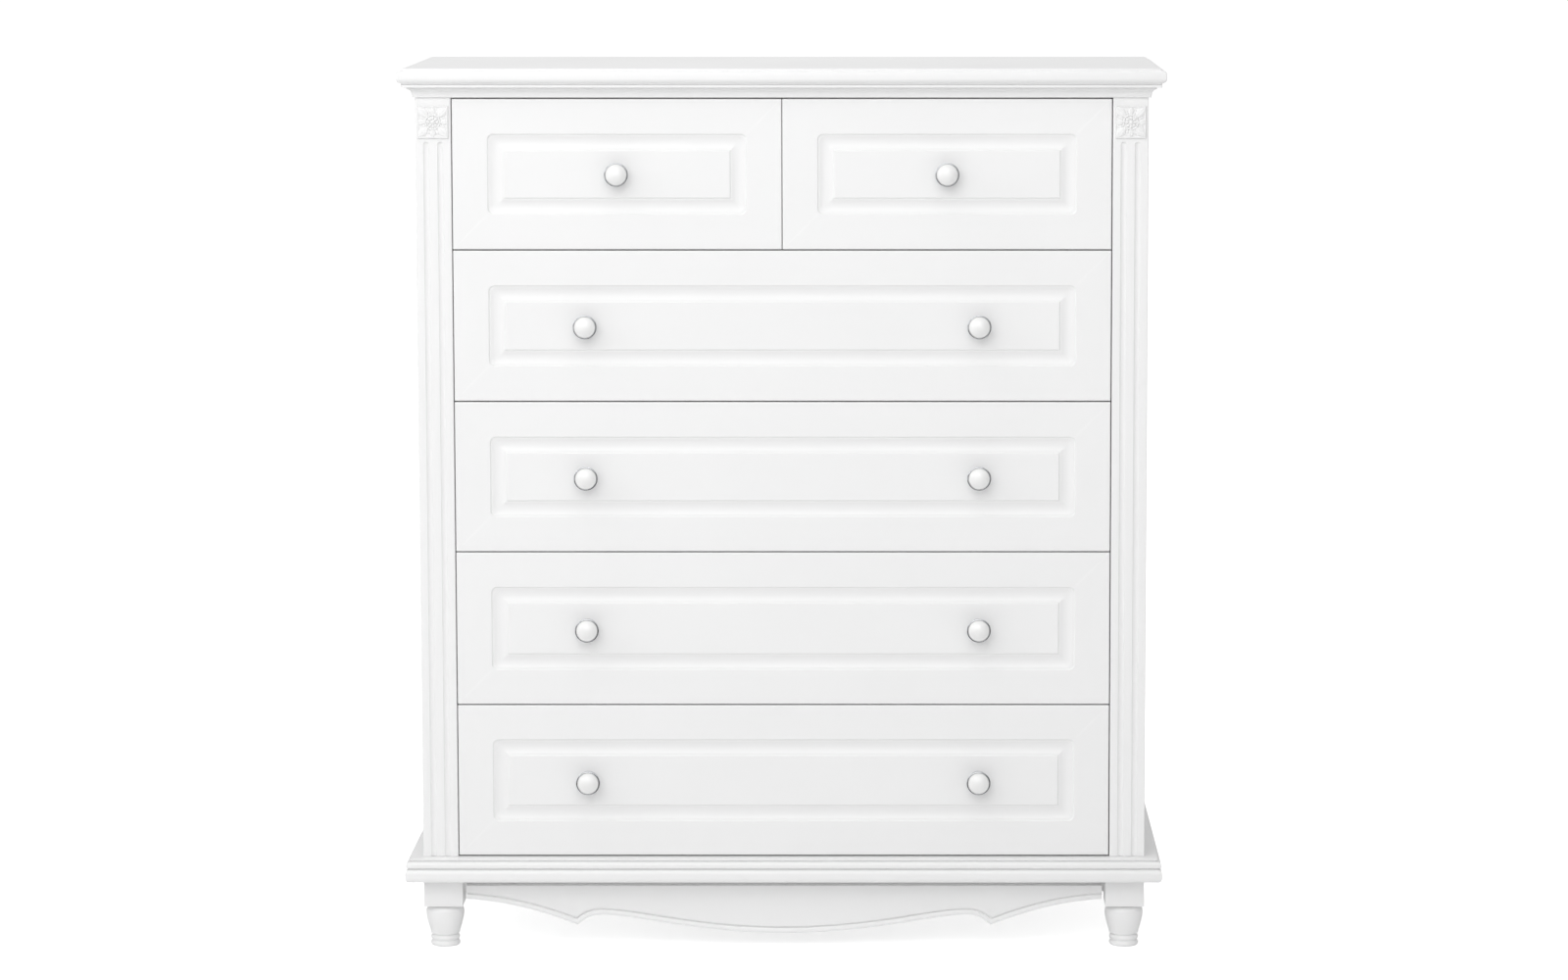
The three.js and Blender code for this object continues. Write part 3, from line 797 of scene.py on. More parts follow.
def carved_plate(lowest, highest, steps):
    """A closed plate with a grid of the carving in front and a flat back."""
    middle = (lowest + highest) / 2
    half = (highest - lowest) / 2 / MM
    back = highest[1]
    columns, rows = np.meshgrid(
        np.linspace(-half[0], half[0], steps), np.linspace(-half[2], half[2], steps), indexing="ij"
    )
    border = np.minimum(half[0] - np.abs(columns), half[2] - np.abs(rows))
    rise = np.where(border < 0.01, ROSETTE_PLATE - 0.35, ROSETTE_PLATE)
    rise = rise + rosette_relief(columns, rows, border)
    front = np.stack([middle[0] + columns * MM, back - rise * MM, middle[2] + rows * MM], axis=-1)
    front = front.reshape(-1, 3)
    grid = np.arange(steps * steps).reshape(steps, steps)
    faces = np.stack([grid[:-1, :-1], grid[1:, :-1], grid[1:, 1:], grid[:-1, 1:]], axis=-1)
    faces = [tuple(face) for face in faces.reshape(-1, 4).tolist()]
    rim = np.concatenate([grid[:-1, 0], grid[-1, :-1], grid[:0:-1, -1], grid[0, :0:-1]]).tolist()
    behind = front[rim].copy()
    behind[:, 1] = back
    first, count = len(front), len(rim)
    for here in range(count):
        after = (here + 1) % count
        faces.append((rim[here], rim[after], first + after, first + here))
    faces.append(tuple(range(first, first + count)))
    return np.concatenate([front, behind]), faces


class CHEST_OT_rosettes(Operator):
    """Carved rosettes at the tops of the posts"""

    bl_idname = "chest.rosettes"
    bl_label = "Carved rosettes"

    def execute(self, context):
        steps = context.scene.chest_shape.carving_steps
        for name, _ in SIDES:
            node = "rosette_" + name
            plate = carved_plate(low(node), high(node), steps)
            lacquered("carved_rosette_" + name, [plate], "case", SHARP_CARVING, node)
        return {"FINISHED"}


# ---------------------------------------------------------------------------------------------
# Carcass
# ---------------------------------------------------------------------------------------------


class CHEST_OT_carcass(Operator):
    """Side panels, and the finishes of the shelf, divider, battens and back"""

    bl_idname = "chest.carcass"
    bl_label = "Carcass"

    def execute(self, context):
        ease = context.scene.chest_shape.board_ease
        for name, _ in SIDES:
            node = "side_panel_" + name
            board = eased_board(low(node), high(node), ease)
            lacquered("side_board_" + name, [board], "case", SHARP_BOARD, node)
            refinish("rear_batten_" + name, "wood_upright")
        refinish("divider_shelf", "wood_side_to_side")
        refinish("centre_divider", "wood_front_to_back")
        refinish("back_panel", "painted_hardboard")
        return {"FINISHED"}


# ---------------------------------------------------------------------------------------------
# Apron and feet
# ---------------------------------------------------------------------------------------------


def bezier(start, one, two, end, steps=60):
    share = np.linspace(0, 1, steps)[:, None]
    points = [np.array(point, float) for point in (start, one, two, end)]
    return (
        (1 - share) ** 3 * points[0]
        + 3 * share * (1 - share) ** 2 * points[1]
        + 3 * share ** 2 * (1 - share) * points[2]
        + share ** 3 * points[3]
    )


def apron_curve(half):
    """The scalloped lower edge of the apron from the middle to its end, as (x, z) in millimetres."""
    end, cusp, crest, middle = 62.0, 29.0, 42.0, 18.5
    cusp_x = half - 140.0
    crest_x = cusp_x - 31.0
    parts = [
        bezier((0, middle), (crest_x * 0.48, middle), (crest_x * 0.82, crest), (crest_x, crest)),
        bezier((crest_x, crest), (crest_x + 12.4, crest), (cusp_x - 10.2, cusp + 9), (cusp_x, cusp)),
        bezier((cusp_x, cusp), (cusp_x + 39.2, cusp + 15), (half - 60.2, end - 4), (half, end)),
    ]
    return np.concatenate(parts), cusp_x


def parallel_height(curve, places, distance):
    """Height of the line at a distance above a curve, at places across."""
    if distance <= 0:
        return np.interp(places, curve[:, 0], curve[:, 1])
    heights = []
    for place_x in places:
        near = curve[np.abs(curve[:, 0] - place_x) < distance]
        heights.append((near[:, 1] + np.sqrt(distance ** 2 - (near[:, 0] - place_x) ** 2)).max())
    return np.array(heights)


def apron_places(half, cusp_x):
    """Places across the apron in millimetres, closer together at the cusps."""
    side = np.concatenate([
        np.arange(0, cusp_x - 45, 3.0), np.arange(cusp_x - 45, cusp_x - 12, 1.0),
        np.arange(cusp_x - 12, cusp_x + 12, 0.4), [cusp_x], np.arange(cusp_x + 12, half - 1, 2.5),
        [half - 1, half - 0.4, half],
    ])
    side = np.unique(np.round(side, 4))
    return np.concatenate([-side[::-1], side[1:]])


class CHEST_OT_apron(Operator):
    """Scalloped apron with its incised line"""

    bl_idname = "chest.apron"
    bl_label = "Scalloped apron"

    def execute(self, context):
        shape = context.scene.chest_shape
        lowest, highest = low("apron"), high("apron")
        half = (highest[0] - lowest[0]) / 2 / MM
        right, cusp_x = apron_curve(half)
        dense = np.concatenate([(right * [-1, 1])[::-1], right])
        dense = dense[np.argsort(dense[:, 0], kind="stable")]
        fine = np.interp(np.linspace(0, 1, 4000), np.linspace(0, 1, len(dense)), dense[:, 0])
        curve = np.stack([fine, np.interp(fine, dense[:, 0], dense[:, 1])], axis=1)
        places = apron_places(half, cusp_x)
        bottom = parallel_height(curve, places, 0)
        top = highest[2] / MM
        slot = top - shape.apron_slot / MM
        depth = (highest[1] - lowest[1]) / MM
        behind_slot = 13.0

        # Lines along the apron, from the front of its lower edge up and round to the back of it:
        # (height or heights, distance behind the face) in millimetres.
        rises = ((0.0, 1.2), (0.25, 0.5), (0.7, 0.1), (1.2, 0.0), (2.2, 0.0))
        lines = [(bottom + rise, inward) for rise, inward in rises]
        lift, wide = shape.bead_lift / MM, shape.bead_width / MM / 2
        bead = (
            (-wide - 2.2, 0.0), (-wide - 1.1, 0.14), (-wide - 0.3, 0.30), (-wide, 0.45), (-0.6 * wide, 1.0),
            (0.6 * wide, 1.0), (0.9 * wide, 0.9), (wide, 0.1), (wide + 0.2, 0.0), (wide + 1.3, 0.0),
        )
        for offset, sunk in bead:
            lines.append((parallel_height(curve, places, lift + offset), sunk * shape.bead_depth / MM))
        lines += [(slot - 1.2, 0.0), (slot - 0.3, 0.1), (slot, 0.4), (slot, behind_slot - 0.4)]
        lines += [(slot + 0.4, behind_slot), (top, behind_slot), (top, depth)]
        lines += [(bottom + 0.8, depth), (bottom, depth - 0.8)]
        heights = np.array([np.broadcast_to(height, places.shape) for height, _ in lines])
        rings = [
            [(x * MM, lowest[1] + line[1] * MM, height * MM) for line, height in zip(lines, column)]
            for x, column in zip(places, heights.T)
        ]
        lacquered("scalloped_apron", [loft(rings)], "case", SHARP_APRON, "apron")
        return {"FINISHED"}


FOOT_BLOCK = 34.7 * MM


def foot_profile(block_bottom):
    """Turned part of a foot, as (radius, height) in millimetres."""
    profile = [(0.0, 0.0), (15.6, 0.0), (16.6, 0.3)]
    profile += arc((15.6, 3.6), (2.9, 3.2), -70, 74, 8)
    profile += [(16.3, 7.2), (16.3, 7.6)]
    profile += arc((15.6, 10.9), (2.7, 3.1), -74, 74, 8)
    profile += [(15.9, 14.6), (15.7, 15.2), (16.6, 15.6), (18.2, 16.2)]
    rise = block_bottom - 16.2
    widest = 16.2 + rise * 0.76
    profile += [
        (18.2 + 5.8 * math.sin(math.radians(90 * step / 9)) ** 1.25, 16.2 + (widest - 16.2) * step / 9)
        for step in range(1, 10)
    ]
    profile += arc((15.5, widest), (8.5, block_bottom - 1.2 - widest), 8, 88, 8)
    profile += [(15.2, block_bottom - 0.9), (15.2, block_bottom - 0.2), (0.0, block_bottom - 0.2)]
    return profile


class CHEST_OT_feet(Operator):
    """Turned feet under square blocks"""

    bl_idname = "chest.feet"
    bl_label = "Turned feet"

    def execute(self, context):
        steps = context.scene.chest_shape.turning_steps
        for place_name in ("front", "back"):
            for name, _ in SIDES:
                node = f"foot_{place_name}_{name}"
                lowest, highest = low(node), high(node)
                middle = (lowest + highest) / 2
                block_bottom = highest[2] - FOOT_BLOCK
                block = eased_board((lowest[0], lowest[1], block_bottom), highest, 1.4 * MM, 3)
                profile = in_metres(foot_profile(block_bottom / MM))
                turned = lathe(profile, (middle[0], middle[1], 0.0), (0, 0, 1), steps)
                lacquered(f"turned_foot_{place_name}_{name}", [block, turned], "case", SHARP_FOOT, node)
        return {"FINISHED"}


# ---------------------------------------------------------------------------------------------
# Drawers
# ---------------------------------------------------------------------------------------------


def front_levels(shape):
    """(inset, depth behind the face, corner radius) of each loop of a front, from the back."""
    edge = shape.edge_round
    small, outer, inner = 0.8 * MM, shape.ring_corner, 0.3 * MM
    levels = [(0.4 * MM, 18 * MM, 0.6 * MM), (0.0, 17.6 * MM, small), (0.0, edge + 0.8 * MM, small)]
    for turn in range(0, 91, 15):
        angle = math.radians(turn)
        levels.append((edge * (1 - math.cos(angle)), edge * (1 - math.sin(angle)), small))
    levels += [(edge + past * MM, 0.0, small) for past in (0.7, 1.7, 3.0)]

    # The ring: a sloped step, a flat, the hollow, a flat and a sloped step up to the field.
    start, end = shape.ring_margin, shape.ring_margin + shape.ring_width
    step, shoulder = shape.ring_step, shape.ring_shoulder
    slope = [(share, step * (1 - math.cos(math.pi * share)) / 2) for share in (0.12, 0.3, 0.5, 0.7, 0.88)]
    hollow = start + shoulder + shape.ring_flat
    far = end - shoulder - shape.ring_flat
    lip, bite = 0.3 * MM, 0.1 * MM
    levels += [(start - 2.0 * MM, 0.0, outer + 1.0 * MM)]
    levels += [(start - before * MM, 0.0, outer) for before in (0.8, 0.1)]
    levels += [(start + shoulder * share, depth, outer) for share, depth in slope]
    levels += [(start + shoulder, step, outer), (hollow - lip, step, outer), (hollow, step + bite, outer)]
    parts = 16
    for part in range(1, parts):
        share = part / parts
        depth = step + (shape.ring_depth - step) * math.sin(math.pi * share) ** 0.72
        corner = inner + outer * (1 - share) ** 0.8
        levels.append((hollow + (far - hollow) * share, depth, corner))
    levels += [(far, step + bite, inner), (far + lip, step, inner), (end - shoulder, step, inner)]
    levels += [(end - shoulder * share, depth, inner) for share, depth in reversed(slope)]
    levels += [(end + after * MM, 0.0, inner) for after in (0.1, 0.8, 2.0)]
    return levels


class CHEST_OT_drawer_fronts(Operator):
    """Drawer fronts with a routed ring around a raised field"""

    bl_idname = "chest.drawer_fronts"
    bl_label = "Drawer fronts"

    def execute(self, context):
        shape = context.scene.chest_shape
        levels = front_levels(shape)
        for drawer in DRAWERS:
            node = drawer + "_front"
            lowest, highest = low(node), high(node)
            lowest[[0, 2]] -= shape.front_ease
            highest[[0, 2]] += shape.front_ease
            if drawer.startswith("drawer_top"):
                highest[2] -= shape.end_gap
            if drawer == DRAWERS[-1]:
                lowest[2] += shape.end_gap
            if drawer == "drawer_top_left":
                highest[0] = -shape.middle_gap / 2
            if drawer == "drawer_top_right":
                lowest[0] = shape.middle_gap / 2
            rings = []
            for inset, depth, corner in levels:
                outline = rounded_rectangle(
                    lowest[0] + inset, highest[0] - inset, lowest[2] + inset, highest[2] - inset, corner, 7
                )
                rings.append([(x, lowest[1] + depth, z) for x, z in outline])
            lacquered(drawer + "_panelled_front", [loft(rings)], drawer, SHARP_MOULDING, node)
        return {"FINISHED"}


class CHEST_OT_drawer_boxes(Operator):
    """Sides, backs and bottoms of the drawers"""

    bl_idname = "chest.drawer_boxes"
    bl_label = "Drawer boxes"

    def execute(self, context):
        wall, seam = 12 * MM, 0.1 * MM
        ease = context.scene.chest_shape.board_ease
        for drawer in DRAWERS:
            box, bottom = drawer + "_box", drawer + "_bottom"
            (x0, y0, z0), (x1, y1, z1) = low(box), high(box)
            inside0, inside1 = x0 + wall + seam, x1 - wall - seam
            sides = [
                eased_board((x0, y0, z0), (x0 + wall, y1, z1), ease),
                eased_board((x1 - wall, y0, z0), (x1, y1, z1), ease),
            ]
            rear = eased_board((inside0, y1 - wall, z0), (inside1, y1, z1), ease)
            panel = eased_board(
                (inside0, y0 + seam, low(bottom)[2]), (inside1, y1 - wall - seam, high(bottom)[2]), 0.3 * MM
            )
            boards = (
                ("_side_boards", sides, "wood_front_to_back", "drawer_wood", box),
                ("_rear_board", [rear], "wood_side_to_side", "drawer_wood", box),
                ("_base_panel", [panel], "painted_hardboard", "back_board", bottom),
            )
            for name, shells, finish, slot, node in boards:
                make_piece(drawer + name, shells, drawer, finish, SHARP_BOARD, slot, [node])
        return {"FINISHED"}


KNOB_MOUNT = (
    [(0.0, 0.1), (11.9, 0.1), (12.4, 0.3), (12.6, 0.8), (12.6, 2.0), (12.3, 2.8), (11.4, 3.4), (9.6, 3.9)]
    + [(7.6, 4.8), (6.2, 6.2), (5.4, 8.2), (5.1, 10.4), (5.2, 12.2), (5.9, 13.7), (7.6, 14.7), (10.4, 15.3)]
    + [(13.2, 15.8), (14.4, 16.3), (14.9, 17.0), (15.0, 17.8), (15.0, 19.2), (14.8, 19.9), (14.3, 20.4)]
    + [(13.8, 20.5), (13.4, 20.3), (13.25, 19.9), (13.2, 19.0), (0.0, 18.9)]
)
KNOB_DOME = [(0.0, 19.0), (12.6, 19.0), (13.1, 19.3), (13.15, 20.2)] + [
    (13.15 * math.cos(math.radians(turn)) ** 0.92, 20.2 + 8.6 * math.sin(math.radians(turn)))
    for turn in (8, 16, 24, 32, 40, 48, 56, 64, 71, 77, 82, 86)
] + [(0.0, 28.8)]


def knobs_of(drawer):
    return [node for node in sorted(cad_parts) if node.startswith(drawer + "_knob")]


class CHEST_OT_knobs(Operator):
    """Glazed knobs in chromed mounts"""

    bl_idname = "chest.knobs"
    bl_label = "Knobs"

    def execute(self, context):
        steps = context.scene.chest_shape.turning_steps
        parts = (
            ("_chromed_mount", KNOB_MOUNT, "knob_chrome", "chrome"),
            ("_glazed_dome", KNOB_DOME, "knob_glaze", "white_ceramic"),
        )
        for drawer in DRAWERS:
            for node in knobs_of(drawer):
                middle = (low(node) + high(node)) / 2
                centre = (middle[0], FACE_Y, middle[2])
                for name, profile, finish, slot in parts:
                    shell = lathe(in_metres(profile), centre, (0, -1, 0), steps)
                    make_piece(node + name, [shell], drawer, finish, SHARP_KNOB, slot, [node])
        return {"FINISHED"}


# ---------------------------------------------------------------------------------------------
# Drawer slides
# ---------------------------------------------------------------------------------------------


def drawn_out(section, y0, y1):
    """A section of (x, z) points drawn out along Y."""
    return loft([[(x, y, z) for x, z in section] for y in (y0, y1)])


def wheel(centre, radius, width, steps=36):
    """A roller with a dished hub, turning about X."""
    half = width / 2
    hub = ((0.0, 1.0), (0.3, 1.0), (0.42, 0.7), (0.78, 0.7), (0.86, 1.0), (0.96, 1.0), (1.0, 0.86))
    profile = [(radius * out, -half * along) for out, along in hub]
    profile += [(radius * out, half * along) for out, along in reversed(hub)]
    return lathe(profile, centre, (1, 0, 0), steps)


class CHEST_OT_slides(Operator):
    """Case rails, drawer rails and their rollers"""

    bl_idname = "chest.slides"
    bl_label = "Drawer slides"

    def execute(self, context):
        metal, gap, roller, tyre = 1.2 * MM, 0.1 * MM, 6.1 * MM, 5 * MM
        half = metal / 2
        for drawer in DRAWERS:
            box_low, box_high = low(drawer + "_box"), high(drawer + "_box")
            for name, side in SIDES:
                node = f"{drawer}_slide_{name}"
                (x0, y0, base), (x1, y1, top) = low(node), high(node)
                wall, drawer_side = (x0, box_low[0]) if side < 0 else (x1, box_high[0])
                lip, web = wall - side * 9.6 * MM, wall - side * half
                channel = [(lip, base + half), (web, base + half), (web, top - half), (lip, top - half)]
                channel.append((lip, top - 3.4 * MM))
                edge = drawer_side + side * (half + gap)
                runner_z = base + 14.6 * MM
                under = box_low[2] - half - gap
                runner = [(wall - side * 3.6 * MM, runner_z), (edge, runner_z), (edge, under)]
                runner.append((drawer_side - side * 9 * MM, under))
                rear = box_high[1] - 2 * MM
                case_rail = drawn_out(bent_strip(channel, metal, 2.0 * MM), y0, y1)
                drawer_rail = drawn_out(bent_strip(runner, metal, 1.5 * MM), box_low[1] + 1 * MM, rear)
                across = wall - side * 5.4 * MM
                front_z = runner_z - half - roller - gap / 2
                rear_z = base + metal + roller + gap / 2
                front_wheel = wheel((across, y0 + 9 * MM, front_z), roller, tyre)
                rear_wheel = wheel((across, rear - 9 * MM, rear_z), roller, tyre)
                steel = ("slide_powder", SHARP_RAIL, "slide_steel")
                make_piece(node + "_case_rail", [case_rail], "case", *steel, [node])
                make_piece(f"{drawer}_runner_{name}", [drawer_rail], drawer, *steel)
                roll = ("roller_nylon", SHARP_ROLLER)
                make_piece(node + "_front_roller", [front_wheel], "case", *roll)
                make_piece(f"{drawer}_rear_roller_{name}", [rear_wheel], drawer, *roll)
        return {"FINISHED"}


# ---------------------------------------------------------------------------------------------
# Screws and pins
# ---------------------------------------------------------------------------------------------


def fixing_tree():
    """Geometry nodes that set a head with a driver recess on each point, along its axis."""
    name = "fixing_heads"
    if name in bpy.data.node_groups:
        return bpy.data.node_groups[name]
    tree = bpy.data.node_groups.new(name, "GeometryNodeTree")
    tree.interface.new_socket("Places", in_out="INPUT", socket_type="NodeSocketGeometry")
    for label in ("Head Radius", "Head Height", "Recess"):
        socket = tree.interface.new_socket(label, in_out="INPUT", socket_type="NodeSocketFloat")
        socket.default_value = 0.003
    tree.interface.new_socket("Finish", in_out="INPUT", socket_type="NodeSocketMaterial")
    tree.interface.new_socket("Heads", in_out="OUTPUT", socket_type="NodeSocketGeometry")
    given = tree.nodes.new("NodeGroupInput").outputs
    out = tree.nodes.new("NodeGroupOutput").inputs
    head = place(
        tree, "GeometryNodeMeshCylinder", {"fill_type": "NGON"},
        values={"Vertices": 16},
        fed={"Radius": given["Head Radius"], "Depth": given["Head Height"]},
    )
    brow = place(
        tree, "GeometryNodeExtrudeMesh", {"mode": "FACES"},
        values={"Individual": False},
        fed={
            "Mesh": head.outputs["Mesh"],
            "Selection": head.outputs["Top"],
            "Offset Scale": given["Recess"],
        },
    )
    crowned = place(
        tree, "GeometryNodeScaleElements",
        values={"Scale": 0.72},
        fed={"Geometry": brow.outputs["Mesh"], "Selection": brow.outputs["Top"]},
    )
    rim = place(
        tree, "GeometryNodeExtrudeMesh", {"mode": "FACES"},
        values={"Offset Scale": 0.00002, "Individual": False},
        fed={"Mesh": crowned.outputs["Geometry"], "Selection": brow.outputs["Top"]},
    )
    narrow = place(
        tree, "GeometryNodeScaleElements",
        values={"Scale": 0.55},
        fed={"Geometry": rim.outputs["Mesh"], "Selection": rim.outputs["Top"]},
    )
    down = place(
        tree, "ShaderNodeMath", {"operation": "MULTIPLY"},
        values={1: -1.6},
        fed={0: given["Recess"]},
    )
    socketed = place(
        tree, "GeometryNodeExtrudeMesh", {"mode": "FACES"},
        values={"Individual": False},
        fed={
            "Mesh": narrow.outputs["Geometry"],
            "Selection": rim.outputs["Top"],
            "Offset Scale": down.outputs[0],
        },
    )
    axis = place(
        tree, "GeometryNodeInputNamedAttribute", {"data_type": "FLOAT_VECTOR"},
        values={"Name": "axis"},
    )
    turn = place(
        tree, "FunctionNodeAlignRotationToVector", {"axis": "Z"},
        fed={"Vector": axis.outputs[0]},
    )
    placed = place(
        tree, "GeometryNodeInstanceOnPoints",
        fed={
            "Points": given["Places"],
            "Instance": socketed.outputs["Mesh"],
            "Rotation": turn.outputs["Rotation"],
        },
    )
    real = place(tree, "GeometryNodeRealizeInstances", fed={"Geometry": placed.outputs["Instances"]})
    finished = place(
        tree, "GeometryNodeSetMaterial",
        fed={"Geometry": real.outputs["Geometry"], "Material": given["Finish"]},
    )
    tree.links.new(finished.outputs["Geometry"], out["Heads"])
    return tree


# Each fixing: radius and height of its head, and the height of its brow over the recess.
BACK_PIN = (2.6 * MM, 0.7 * MM, 0.2 * MM)
KNOB_SCREW = (4.2 * MM, 1.6 * MM, 0.7 * MM)
CORNER_SCREW = (3.2 * MM, 0.6 * MM, 0.3 * MM)
SLIDE_SCREW = (3.4 * MM, 1.2 * MM, 0.5 * MM)


def set_fixings(name, places, axes, sizes, body):
    """Heads of screws or pins at places, each pointing along its own axis."""
    tree = fixing_tree()
    mesh = bpy.data.meshes.new(name + "_places")
    mesh.from_pydata([tuple(point) for point in places], [], [])
    attribute = mesh.attributes.new("axis", "FLOAT_VECTOR", "POINT")
    attribute.data.foreach_set("vector", np.array(axes, np.float32).ravel())
    holder = bpy.data.objects.new(name + "_places", mesh)
    bpy.context.scene.collection.objects.link(holder)
    modifier = holder.modifiers.new("fixings", "NODES")
    modifier.node_group = tree
    values = dict(zip(("Head Radius", "Head Height", "Recess"), sizes))
    values["Finish"] = material("screw_zinc")
    for item in tree.interface.items_tree:
        if item.item_type == "SOCKET" and item.in_out == "INPUT" and item.name in values:
            modifier[item.identifier] = values[item.name]
    graph = bpy.context.evaluated_depsgraph_get()
    solid = bpy.data.meshes.new_from_object(holder.evaluated_get(graph))
    holder.modifiers.remove(modifier)
    bpy.data.objects.remove(holder)
    bpy.data.meshes.remove(mesh)
    solid.name = name
    return settle(name, solid, body, "screw_zinc")


def back_pins():
    """Places of the pins round the back panel and along the shelf behind it."""
    lowest, highest = low("back_panel"), high("back_panel")
    x_in, z_in = 12 * MM, 8 * MM
    heights = (lowest[2] + z_in, highest[2] - z_in, low("divider_shelf")[2] + 7 * MM)
    pins = []
    for x in np.linspace(lowest[0] + x_in, highest[0] - x_in, 9):
        pins += [(x, BACK_Y, z) for z in heights]
    for z in np.linspace(lowest[2] + z_in, highest[2] - z_in, 11)[1:-1]:
        pins += [(lowest[0] + x_in, BACK_Y, z), (highest[0] - x_in, BACK_Y, z)]
    return pins


class CHEST_OT_fixings(Operator):
    """Screws and pins of the back, the drawers and the slides"""

    bl_idname = "chest.fixings"
    bl_label = "Screws and pins"

    def execute(self, context):
        pins = back_pins()
        set_fixings("back_panel_pins", pins, [(0, 1, 0)] * len(pins), BACK_PIN, "case")
        rail_screws, rail_axes = [], []
        for drawer in DRAWERS:
            behind = high(drawer + "_front")[1] + 0.5 * MM
            middles = [(low(node) + high(node)) / 2 for node in knobs_of(drawer)]
            inner = [(middle[0], behind, middle[2]) for middle in middles]
            set_fixings(drawer + "_knob_screws", inner, [(0, 1, 0)] * len(inner), KNOB_SCREW, drawer)
            box_low, box_high = low(drawer + "_box"), high(drawer + "_box")
            corners, axes = [], []
            for name, side in SIDES:
                x = box_low[0] if side < 0 else box_high[0]
                for share in (0.22, 0.78):
                    z = box_low[2] + (box_high[2] - box_low[2]) * share
                    corners.append((x, box_high[1] - 6 * MM, z))
                    axes.append((side, 0, 0))
                slide_low, slide_high = low(f"{drawer}_slide_{name}"), high(f"{drawer}_slide_{name}")
                web = (slide_low[0] if side < 0 else slide_high[0]) - side * 1.3 * MM
                for share in (0.12, 0.5, 0.9):
                    y = slide_low[1] + (slide_high[1] - slide_low[1]) * share
                    rail_screws.append((web, y, slide_high[2] - 8.2 * MM))
                    rail_axes.append((-side, 0, 0))
            set_fixings(drawer + "_corner_screws", corners, axes, CORNER_SCREW, drawer)
        set_fixings("slide_screws", rail_screws, rail_axes, SLIDE_SCREW, "case")
        return {"FINISHED"}


# ---------------------------------------------------------------------------------------------
# Stage
# ---------------------------------------------------------------------------------------------


def stage_material(name, colour):
    made = bpy.data.materials.new(name)
    made.use_nodes = True
    shader = made.node_tree.nodes["Principled BSDF"]
    shader.inputs["Base Color"].default_value = (*colour, 1.0)
    shader.inputs["Roughness"].default_value = 0.95
    shader.inputs["Specular IOR Level"].default_value = 0.0
    shader.inputs["Emission Color"].default_value = (1.0, 1.0, 1.0, 1.0)
    shader.inputs["Emission Strength"].default_value = 0.0
    return made


def show_white(tree, strength, for_light, for_view):
    """Sets a strength that lights the chest with one value and fills the picture with another."""
    path = place(tree, "ShaderNodeLightPath")
    spread = place(
        tree, "ShaderNodeMapRange",
        values={"To Min": for_light, "To Max": for_view},
        fed={"Value": path.outputs["Is Camera Ray"]},
    )
    tree.links.new(spread.outputs["Result"], strength)


def stage_sheet(name, corners, finish):
    mesh = bpy.data.meshes.new(name)
    mesh.from_pydata(corners, [], [(0, 1, 2, 3)])
    mesh.materials.append(finish)
    sheet = bpy.data.objects.new(name, mesh)
    bpy.context.scene.collection.objects.link(sheet)
    return sheet


def soft_lamp(name, stand, aim, size, power):
    lamp = bpy.data.lights.new(name, "AREA")
    lamp.shape = "RECTANGLE"
    lamp.size, lamp.size_y = size
    lamp.energy = power
    holder = bpy.data.objects.new(name, lamp)
    holder.location = stand
    holder.rotation_euler = (Vector(aim) - Vector(stand)).to_track_quat("-Z", "Y").to_euler()
    bpy.context.scene.collection.objects.link(holder)


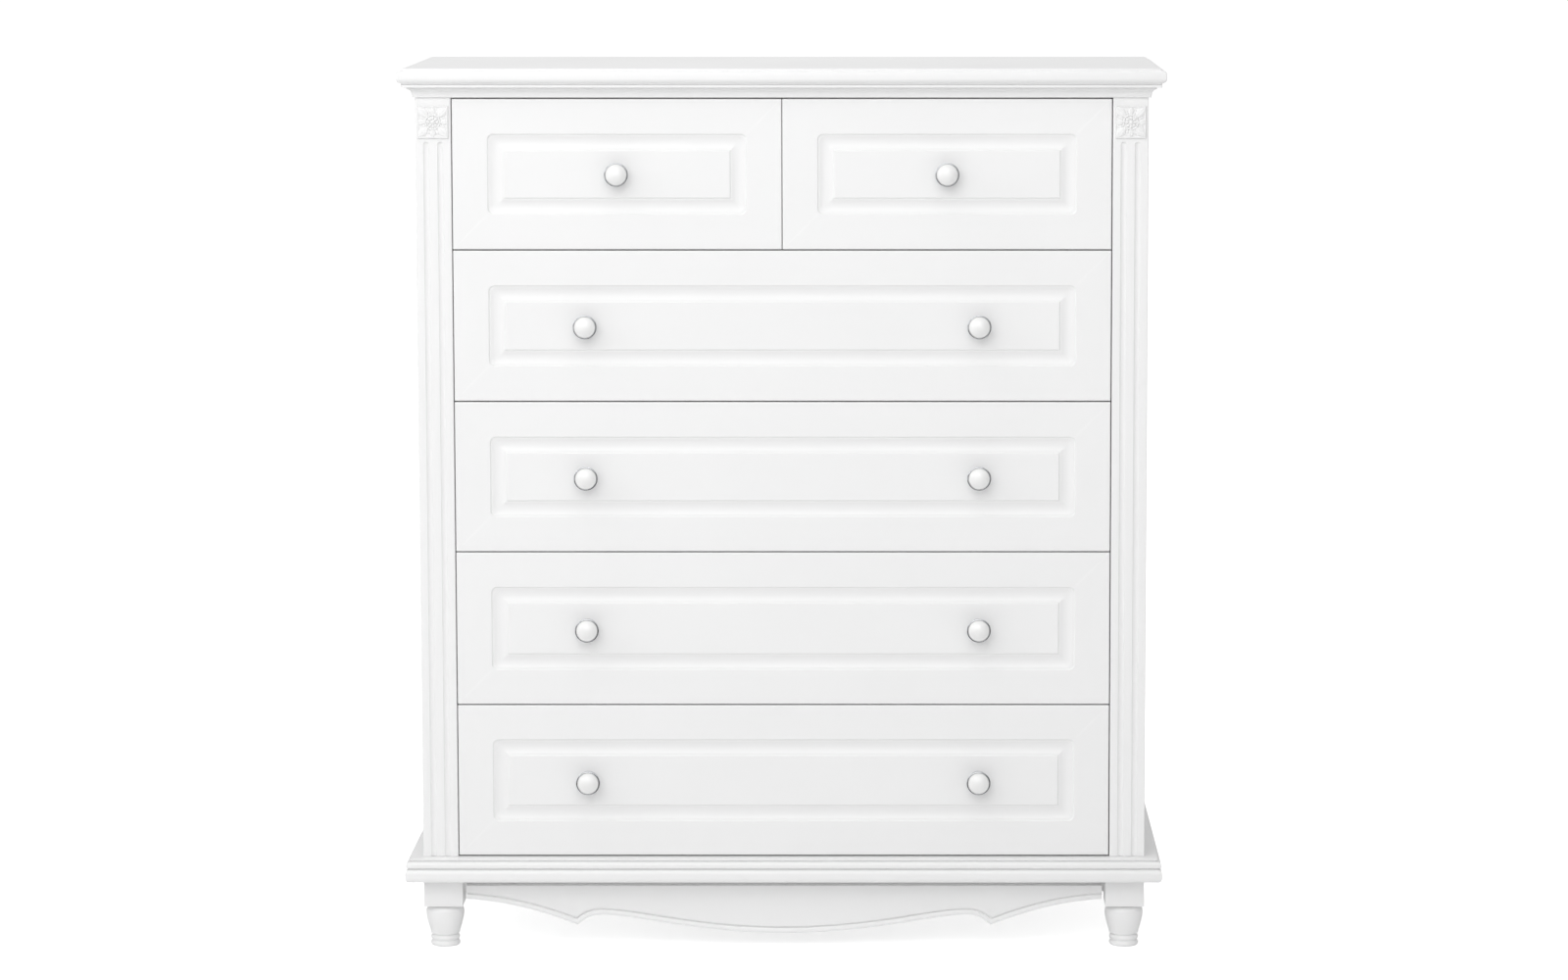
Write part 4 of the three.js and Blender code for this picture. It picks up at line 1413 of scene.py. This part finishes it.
class CHEST_OT_stage(Operator):
    """Camera, floor and light"""

    bl_idname = "chest.stage"
    bl_label = "Stage"

    def execute(self, context):
        stage = context.scene.chest_stage
        scene = context.scene
        scene.view_settings.view_transform = "Standard"
        scene.view_settings.look = "None"
        scene.cycles.max_bounces = 14
        scene.cycles.diffuse_bounces = 10

        view = bpy.data.cameras.new("camera")
        view.lens = stage.lens
        view.sensor_width = 36.0
        view.shift_x, view.shift_y = stage.shift_x, stage.shift_y
        view.clip_end = 200.0
        camera = bpy.data.objects.new("camera", view)
        camera.location = (stage.camera_x, FACE_Y - stage.camera_distance, stage.camera_height)
        camera.rotation_euler = (math.pi / 2 - stage.camera_pitch, 0.0, 0.0)
        scene.collection.objects.link(camera)
        scene.camera = camera

        far = 60.0
        floor = stage_material("pale_floor", tuple(stage.floor))
        shader = floor.node_tree.nodes["Principled BSDF"]
        show_white(floor.node_tree, shader.inputs["Emission Strength"], 0.0, stage.floor_lift)
        stage_sheet("floor", [(-far, -far, 0), (far, -far, 0), (far, far, 0), (-far, far, 0)], floor)

        world = bpy.data.worlds.new("white_studio")
        scene.world = world
        world.use_nodes = True
        background = world.node_tree.nodes["Background"]
        background.inputs["Color"].default_value = (1.0, 1.0, 1.0, 1.0)
        show_white(world.node_tree, background.inputs["Strength"], stage.sky, 1.0)

        soft_lamp("key_softbox", (-2.6, -1.2, 1.8), (0.0, FACE_Y, 0.75), (1.0, 1.0), stage.key_power)
        soft_lamp("top_softbox", (-0.7, -1.9, 3.0), (0.0, FACE_Y, 0.65), (3.6, 2.6), stage.top_power)
        soft_lamp("rear_softbox", (0.0, 1.1, 2.7), (0.0, 0.1, 1.1), (2.4, 1.2), stage.rear_power)
        soft_lamp("front_softbox", (-0.5, -3.6, 2.3), (0.0, FACE_Y, 0.65), (3.6, 2.4), stage.front_power)

        # Cards that only the gloss of the chrome and the lacquer sees.
        dark = stage_material("dark_card", (0.02, 0.02, 0.02))
        low_card = [(-2.2, -4.2, 0.004), (3.4, -4.2, 0.004), (3.4, -0.3, 0.004), (-2.2, -0.3, 0.004)]
        tall_card = [(2.3, 0.6, 0.0), (2.6, -3.6, 0.0), (2.6, -3.6, 2.0), (2.3, 0.6, 2.0)]
        for name, corners in (("floor_card", low_card), ("side_card", tall_card)):
            card = stage_sheet(name, corners, dark)
            card.visible_camera = False
            card.visible_diffuse = False
            card.visible_shadow = False
        return {"FINISHED"}


# ---------------------------------------------------------------------------------------------
# Add-on
# ---------------------------------------------------------------------------------------------

BUILDERS = (
    CHEST_OT_moulded_boards,
    CHEST_OT_posts,
    CHEST_OT_rosettes,
    CHEST_OT_carcass,
    CHEST_OT_apron,
    CHEST_OT_feet,
    CHEST_OT_drawer_fronts,
    CHEST_OT_drawer_boxes,
    CHEST_OT_knobs,
    CHEST_OT_slides,
    CHEST_OT_fixings,
    CHEST_OT_stage,
)


class CHEST_PT_builders(Panel):
    """Lists the builders of the chest"""

    bl_label = "Chest of drawers"
    bl_idname = "CHEST_PT_builders"
    bl_space_type = "VIEW_3D"
    bl_region_type = "UI"
    bl_category = "Chest"

    def draw(self, context):
        column = self.layout.column()
        for builder in BUILDERS:
            column.operator(builder.bl_idname)
        for group in (context.scene.chest_shape, context.scene.chest_finish, context.scene.chest_stage):
            for name in group.bl_rna.properties.keys():
                if name not in ("rna_type", "name"):
                    column.prop(group, name)


SETTINGS = (("chest_shape", ChestShape), ("chest_finish", ChestFinish), ("chest_stage", ChestStage))


def register():
    for _, group in SETTINGS:
        bpy.utils.register_class(group)
    for builder in BUILDERS:
        bpy.utils.register_class(builder)
    bpy.utils.register_class(CHEST_PT_builders)
    for name, group in SETTINGS:
        setattr(bpy.types.Scene, name, PointerProperty(type=group))


def unregister():
    for name, _ in SETTINGS:
        delattr(bpy.types.Scene, name)
    bpy.utils.unregister_class(CHEST_PT_builders)
    for builder in reversed(BUILDERS):
        bpy.utils.unregister_class(builder)
    for _, group in reversed(SETTINGS):
        bpy.utils.unregister_class(group)


def main():
    register()
    for builder in BUILDERS:
        family, operation = builder.bl_idname.split(".")
        getattr(getattr(bpy.ops, family), operation)()


if __name__ == "__main__":
    main()
